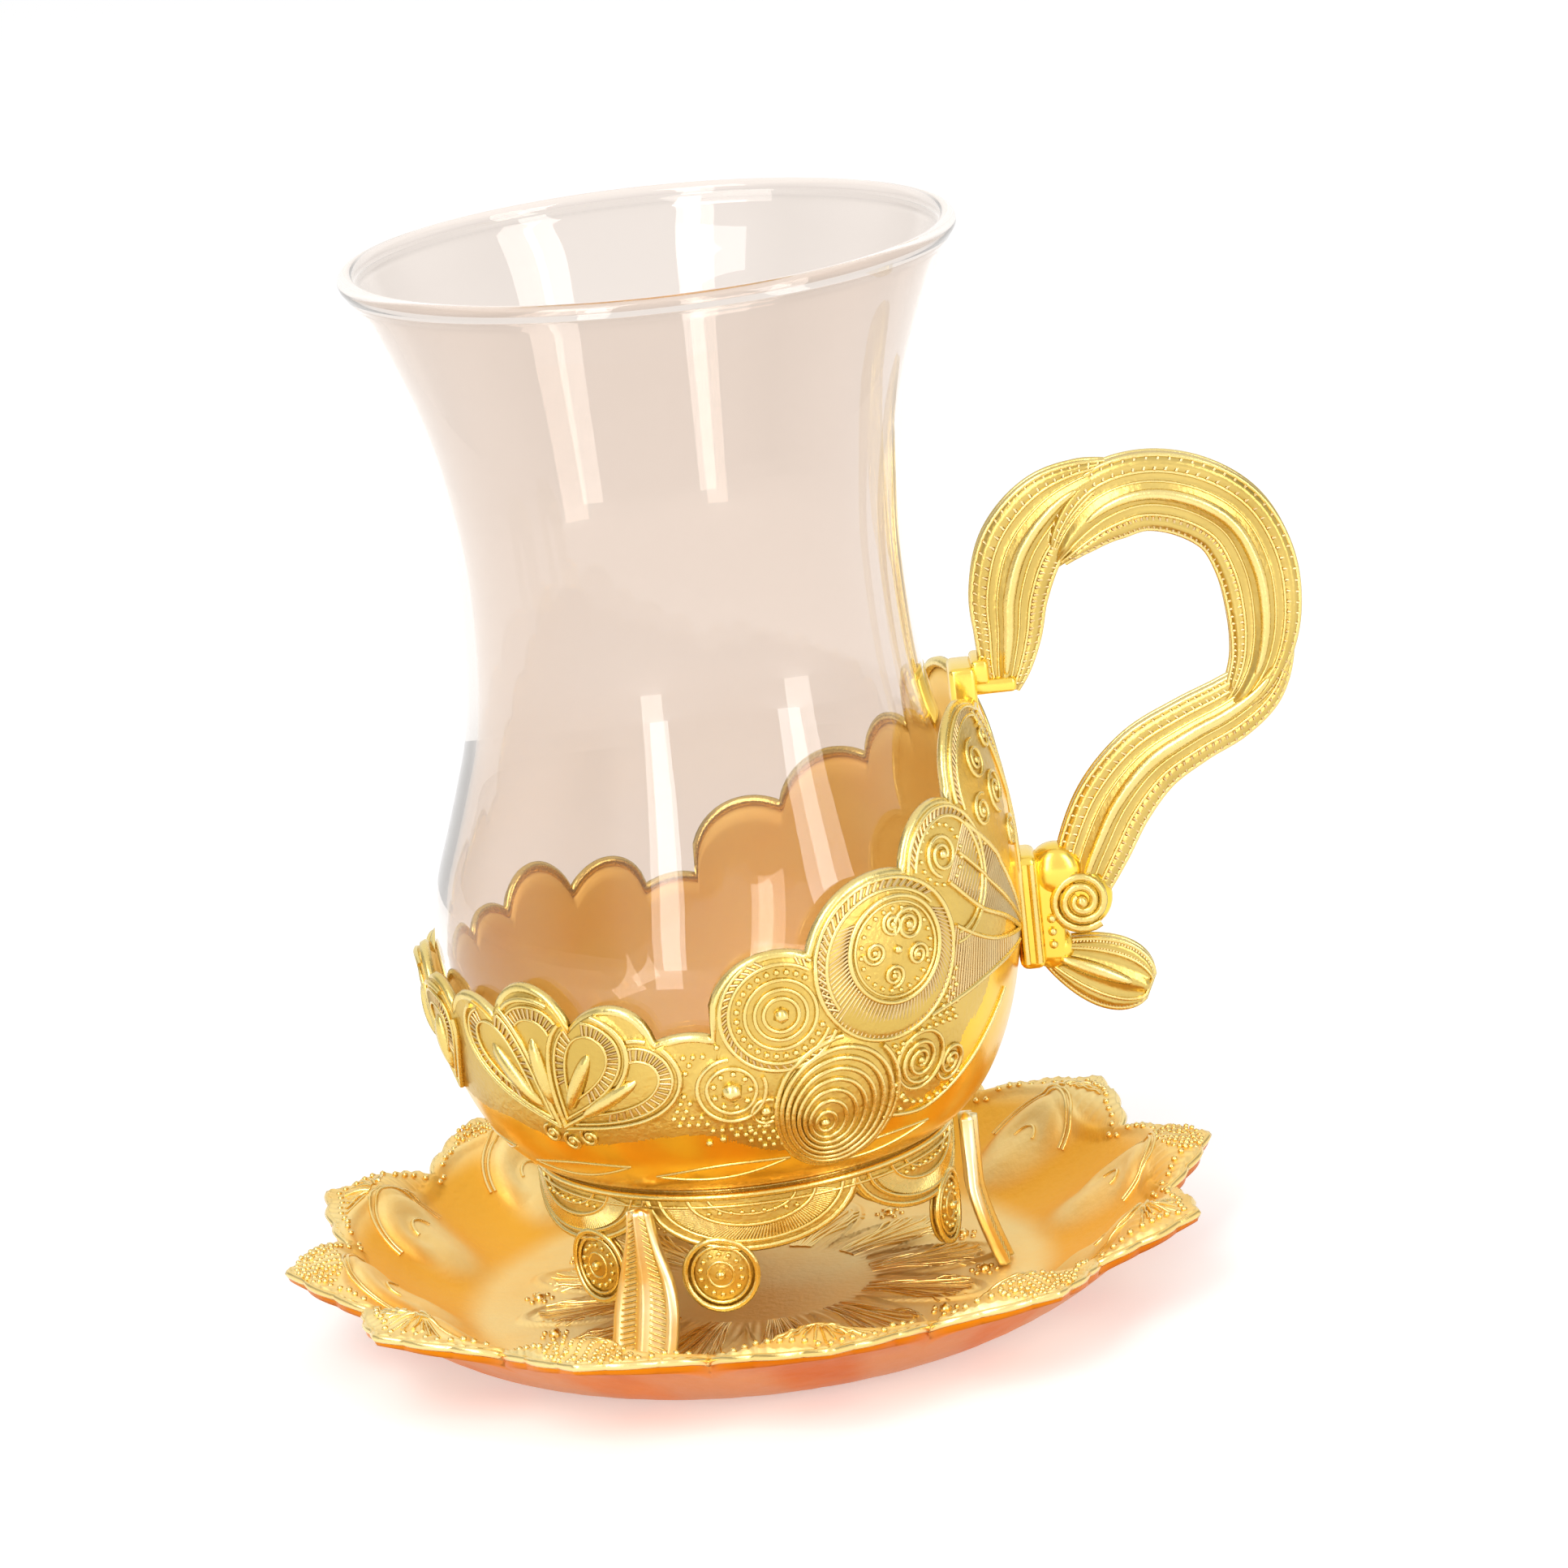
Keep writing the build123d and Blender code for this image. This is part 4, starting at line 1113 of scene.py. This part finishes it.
# strap, arm and pad, each with rounded edges
fixings = bmesh.new()
for low, high, rounding in (
    ((STRAP_IN, -3.0, STRAP_LOW), (STRAP_OUT, 3.0, STRAP_HIGH), 0.6),
    ((STRAP_OUT - 0.8, -2.0, ARM_HEIGHT - 0.8), (33.4, 2.0, ARM_HEIGHT + 0.8), 0.5),
    ((STRAP_OUT - 0.4, -2.7, ARM_HEIGHT + 0.5), (30.6, 2.7, STRAP_HIGH + 0.6), 0.5),
    ((30.9, -3.0, PAD_LOW - 1.2), (PAD_OUT, 3.0, PAD_HIGH), 0.9),
    ((PAD_OUT - 1.5, -2.0, PAD_LOW - 1.0), (PAD_OUT + 2.4, 2.0, PAD_HIGH - 0.6), 0.9),
):
    made = bmesh.ops.create_cube(fixings, size=1.0)["verts"]
    for corner in made:
        corner.co = Vector([(a + b) / 2 + (b - a) * c for a, b, c in zip(low, high, corner.co)])
    edges = {edge for corner in made for edge in corner.link_edges}
    bmesh.ops.bevel(fixings, geom=list(edges), offset=rounding, segments=4, profile=0.5,
                    affect="EDGES", material=-1)
piece("holder_fixings", fixings, "gilt_holder", bright_gilt)
for side in (-1, 1):
    for x in (31.6, 32.9):
        handle_paths.append(([Vector((x, side * 2.95, z)) for z in (PAD_LOW - 0.4, 40.0,
                                                                    PAD_HIGH - 0.8)], 0.42))
    for height in (36.2, 37.6, 39.0):
        handle_grains.append((Vector((34.6, side * 2.1, height)), 0.5))

# stud beside the coil, and the coil itself, domed on both faces
knobs = bmesh.new()
for middle, reach, half_depth in ((Vector((35.6, 43.8)), 2.9, 2.5), (COIL_PLACE, COIL_RADIUS, 2.2),
                                  (Vector((34.6, 35.4)), 2.3, 2.0)):
    made = bmesh.ops.create_uvsphere(knobs, u_segments=32, v_segments=16, radius=1.0)["verts"]
    for corner in made:
        plump = abs(corner.co.z) ** 0.6 * (1 if corner.co.z > 0 else -1)
        corner.co = Vector((middle.x + reach * corner.co.x, plump * half_depth,
                            middle.y + reach * corner.co.y))
bmesh.ops.recalc_face_normals(knobs, faces=knobs.faces)
piece("handle_knobs", knobs, "gilt_holder", bright_gilt)
for side in (-1, 1):
    coil_line = []
    for k in range(61):
        around = 2 * pi * 2.5 * k / 60
        reach = 0.7 + (COIL_RADIUS - 1.0) * k / 60
        coil_line.append(Vector((COIL_PLACE.x + reach * cos(around + 2.2), side * (2.35 - 0.5
                                 * (k / 60) ** 2), COIL_PLACE.y + reach * sin(around + 2.2))))
    handle_paths.append((coil_line, 0.5))
    handle_grains.append((Vector((COIL_PLACE.x, side * 2.4, COIL_PLACE.y)), 0.75))

# thumb leaf: a spoon shape with a combed border and a small leaf in its middle
THUMB_HALF = 3.7
thumb_heading = (THUMB_TIP - THUMB_ROOT).normalized()
thumb_out = Vector((-thumb_heading.y, thumb_heading.x))
thumb_length = (THUMB_TIP - THUMB_ROOT).length
thumb = []
for k in range(41):
    share = k / 40
    half = THUMB_HALF * max(0.35 * sqrt(share * (1 - share)) + 0.86 * drop_width(share), 0.02)
    thumb.append((THUMB_ROOT + thumb_heading * thumb_length * share, half, thumb_heading,
                  thumb_out))
piece("handle_thumb_leaf", leaf_body(thumb, 3.4), "gilt_holder", handle_gilt)
for side in (-1, 1):
    for scale, radius in ((0.96, 0.34), (0.62, 0.2)):
        loop = [on_leaf(s, scale, 3.4, side, 0.03) for s in thumb[2:-1]]
        loop += [on_leaf(s, -scale, 3.4, side, 0.03) for s in thumb[-2:1:-1]]
        handle_paths.append((loop + [loop[0]], radius))
    for k in range(4, 40):
        for sign in (-1, 1):
            handle_combs.append(([on_leaf(thumb[k], 0.64 * sign, 3.4, side, 0.02),
                                  on_leaf(thumb[k], 0.92 * sign, 3.4, side, 0.02)], 0.16))
    vein = thumb[8:34]
    swell = swelling(len(vein), 0.15, 0.7)
    handle_paths.append(([on_leaf(s, 0.0, 3.4, side, -0.15) for s in vein], swell))

wires("handle_wires", handle_paths, ornament_gilt)
wires("handle_combs", handle_combs, comb_gilt, 0)
grains("handle_grains", handle_grains, ornament_gilt, "gilt_holder", 2)


# ---------------------------------------------------------------- glass
# One thin blown glass, faintly smoky rose: round belly, narrow waist, flared mouth and a thick
# fire-polished lip. It stands loose in the cup on its own flat bottom.

glass_low, glass_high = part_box("tea_glass")
GLASS_FOOT = glass_low.z / MM
GLASS_TOP = glass_high.z / MM
GLASS_FOOT_RADIUS = 14.0
GLASS_BELLY = 30.2
GLASS_BELLY_HEIGHT = GLASS_FOOT + 22.3
GLASS_WALL = 1.25
GLASS_BOTTOM = 3.2
GLASS_LIP = 0.9
GLASS_SIDE = ((GLASS_BELLY, GLASS_BELLY_HEIGHT), (29.35, 49.3), (27.48, 55.1), (25.9, 60.0),
              (24.49, 65.05), (23.7, 71.0), (23.4, 78.0), (23.55, 84.0), (24.24, 90.05),
              (25.2, 95.4), (26.49, 100.27), (28.3, 105.4), (30.4, 110.6), (31.1, 112.9))
outside = quarter(GLASS_FOOT_RADIUS, GLASS_BELLY, GLASS_FOOT, GLASS_BELLY_HEIGHT, 20)
outside += through(GLASS_SIDE, 4)
inside = []
for k, spot in enumerate(outside):
    ahead = outside[min(k + 1, len(outside) - 1)] - outside[max(k - 1, 0)]
    inside.append(spot - Vector((ahead.y, -ahead.x)).normalized() * GLASS_WALL)
inside = [p for p in inside if p.y > GLASS_FOOT + GLASS_BOTTOM - 0.1]
lip_middle = Vector((glass_high.x / MM - GLASS_LIP, GLASS_TOP - GLASS_LIP))
lip = [lip_middle + GLASS_LIP * Vector((cos(radians(d)), sin(radians(d))))
       for d in range(-36, 217, 18)]
section = [Vector((0, GLASS_FOOT))] + outside + lip + inside[::-1]
section.append(Vector((0, GLASS_FOOT + GLASS_BOTTOM)))


def turned(section, steps):
    """Spins a section of (radius, height) places into a closed round body."""
    bm = bmesh.new()
    corners = [bm.verts.new((p[0], 0, p[1])) for p in section]
    edges = [bm.edges.new(pair) for pair in zip(corners, corners[1:])]
    bmesh.ops.spin(bm, geom=corners + edges, cent=(0, 0, 0), axis=(0, 0, 1), angle=2 * pi,
                   steps=steps, use_merge=True)
    bmesh.ops.remove_doubles(bm, verts=bm.verts, dist=0.0005)
    bmesh.ops.recalc_face_normals(bm, faces=bm.faces)
    return bm


clear_glass = bpy.data.materials.new("clear_glass")
clear_glass.use_nodes = True
nodes, links = clear_glass.node_tree.nodes, clear_glass.node_tree.links
glass_surface = nodes["Principled BSDF"]
glass_surface.inputs["Base Color"].default_value = (0.845, 0.762, 0.70, 1)
glass_surface.inputs["Roughness"].default_value = 0.01
glass_surface.inputs["IOR"].default_value = 1.46
glass_surface.inputs["Transmission Weight"].default_value = 1.0
rays = nodes.new("ShaderNodeLightPath")
pass_through = nodes.new("ShaderNodeBsdfTransparent")
pass_through.inputs["Color"].default_value = (1.0, 0.98, 0.96, 1)
surface = glass_surface
for ray in ("Is Shadow Ray", "Is Diffuse Ray", "Is Glossy Ray"):
    choice = nodes.new("ShaderNodeMixShader")
    links.new(rays.outputs[ray], choice.inputs["Fac"])
    links.new(surface.outputs[0], choice.inputs[1])
    links.new(pass_through.outputs["BSDF"], choice.inputs[2])
    surface = choice
refracted = nodes.new("ShaderNodeMixShader")
links.new(rays.outputs["Is Transmission Ray"], refracted.inputs["Fac"])
links.new(surface.outputs[0], refracted.inputs[1])
links.new(glass_surface.outputs["BSDF"], refracted.inputs[2])
links.new(refracted.outputs[0], nodes["Material Output"].inputs["Surface"])
glass_body = piece("glass_body", turned(section, 180), "clear_glass", clear_glass)
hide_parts("tea_glass")


# ---------------------------------------------------------------- studio
# A white sweep that keeps the object's soft shadow, a bright surround for the metal to mirror,
# soft boxes that leave pale bands on the glass, and a grey flag on each side that edges it.

camera_data = bpy.data.cameras.new("camera")
camera_data.sensor_width = 36.0
camera_data.lens = 165.46
camera = bpy.data.objects.new("camera", camera_data)
scene.collection.objects.link(camera)
CAMERA_PLACE = Vector((0, -0.7301, 0.2510))
CAMERA_AIM = Vector((0.00816, 0, 0.05623))
CAMERA_ROLL = radians(6.16)
ahead = (CAMERA_AIM - CAMERA_PLACE).normalized()
rightward = ahead.cross(Vector((0, 0, 1))).normalized()
upward = rightward.cross(ahead)
level = Matrix((rightward, upward, -ahead)).transposed()
camera.matrix_world = Matrix.Translation(CAMERA_PLACE) @ (
    level @ Matrix.Rotation(-CAMERA_ROLL, 3, "Z")).to_4x4()
scene.camera = camera

floor_grid = bmesh.new()
bmesh.ops.create_grid(floor_grid, x_segments=1, y_segments=1, size=4.0)
floor_mesh = bpy.data.meshes.new("floor")
floor_grid.to_mesh(floor_mesh)
floor_grid.free()
floor = bpy.data.objects.new("floor", floor_mesh)
scene.collection.objects.link(floor)
floor_white = bpy.data.materials.new("floor_white")
floor_white.use_nodes = True
nodes, links = floor_white.node_tree.nodes, floor_white.node_tree.links
floor_surface = nodes["Principled BSDF"]
floor_surface.inputs["Base Color"].default_value = (0.80, 0.80, 0.80, 1)
floor_surface.inputs["Roughness"].default_value = 0.9
floor_surface.inputs["Specular IOR Level"].default_value = 0.0
floor_surface.inputs["Emission Color"].default_value = (1, 1, 1, 1)


def seen_level(nodes, links, hidden, shown):
    """A strength for what the camera, metal and glass see, apart from what lights the object."""
    rays = nodes.new("ShaderNodeLightPath")
    mirrored = nodes.new("ShaderNodeMath")
    mirrored.operation = "MAXIMUM"
    seen = nodes.new("ShaderNodeMath")
    seen.operation = "MAXIMUM"
    level = nodes.new("ShaderNodeMapRange")
    level.inputs["To Min"].default_value = hidden
    level.inputs["To Max"].default_value = shown
    links.new(rays.outputs["Is Camera Ray"], mirrored.inputs[0])
    links.new(rays.outputs["Is Glossy Ray"], mirrored.inputs[1])
    links.new(mirrored.outputs["Value"], seen.inputs[0])
    links.new(rays.outputs["Is Transmission Ray"], seen.inputs[1])
    links.new(seen.outputs["Value"], level.inputs["Value"])
    return level.outputs["Result"]


links.new(seen_level(nodes, links, 0.0, 0.40), floor_surface.inputs["Emission Strength"])
floor_mesh.materials.append(floor_white)

world = bpy.data.worlds.new("studio")
scene.world = world
world.use_nodes = True
nodes, links = world.node_tree.nodes, world.node_tree.links
backdrop = nodes["Background"]
direction = nodes.new("ShaderNodeTexCoord")
axes = nodes.new("ShaderNodeSeparateXYZ")
sideways = nodes.new("ShaderNodeMath")
sideways.operation = "ABSOLUTE"
off_flag = nodes.new("ShaderNodeMath")
off_flag.operation = "SUBTRACT"
off_flag.inputs[1].default_value = 0.78
spread = nodes.new("ShaderNodeMath")
spread.operation = "ABSOLUTE"
flags = nodes.new("ShaderNodeMapRange")
flags.interpolation_type = "SMOOTHSTEP"
flags.inputs["From Min"].default_value = 0.05
flags.inputs["From Max"].default_value = 0.20
flags.inputs["To Min"].default_value = 0.45
links.new(direction.outputs["Generated"], axes.inputs["Vector"])
links.new(axes.outputs["X"], sideways.inputs[0])
links.new(sideways.outputs["Value"], off_flag.inputs[0])
links.new(off_flag.outputs["Value"], spread.inputs[0])
links.new(spread.outputs["Value"], flags.inputs["Value"])
links.new(flags.outputs["Result"], backdrop.inputs["Color"])
links.new(seen_level(nodes, links, 0.75, 1.0), backdrop.inputs["Strength"])


def soft_box(name, place, target, width, height, watts):
    data = bpy.data.lights.new(name, "AREA")
    data.shape = "RECTANGLE"
    data.size = width
    data.size_y = height
    data.energy = watts
    lamp = bpy.data.objects.new(name, data)
    scene.collection.objects.link(lamp)
    lamp.location = place
    lamp.rotation_euler = (Vector(target) - Vector(place)).to_track_quat("-Z", "Y").to_euler()


soft_box("key", (-0.45, -0.75, 0.95), (0, 0, 0.05), 0.6, 0.6, 5.0)
soft_box("band_left", (-0.30, -0.85, 0.35), (0, 0, 0.07), 0.16, 0.8, 2.6)
soft_box("band_right", (0.62, -0.62, 0.35), (0, 0, 0.07), 0.20, 0.8, 3.0)

scene.view_settings.view_transform = "Standard"
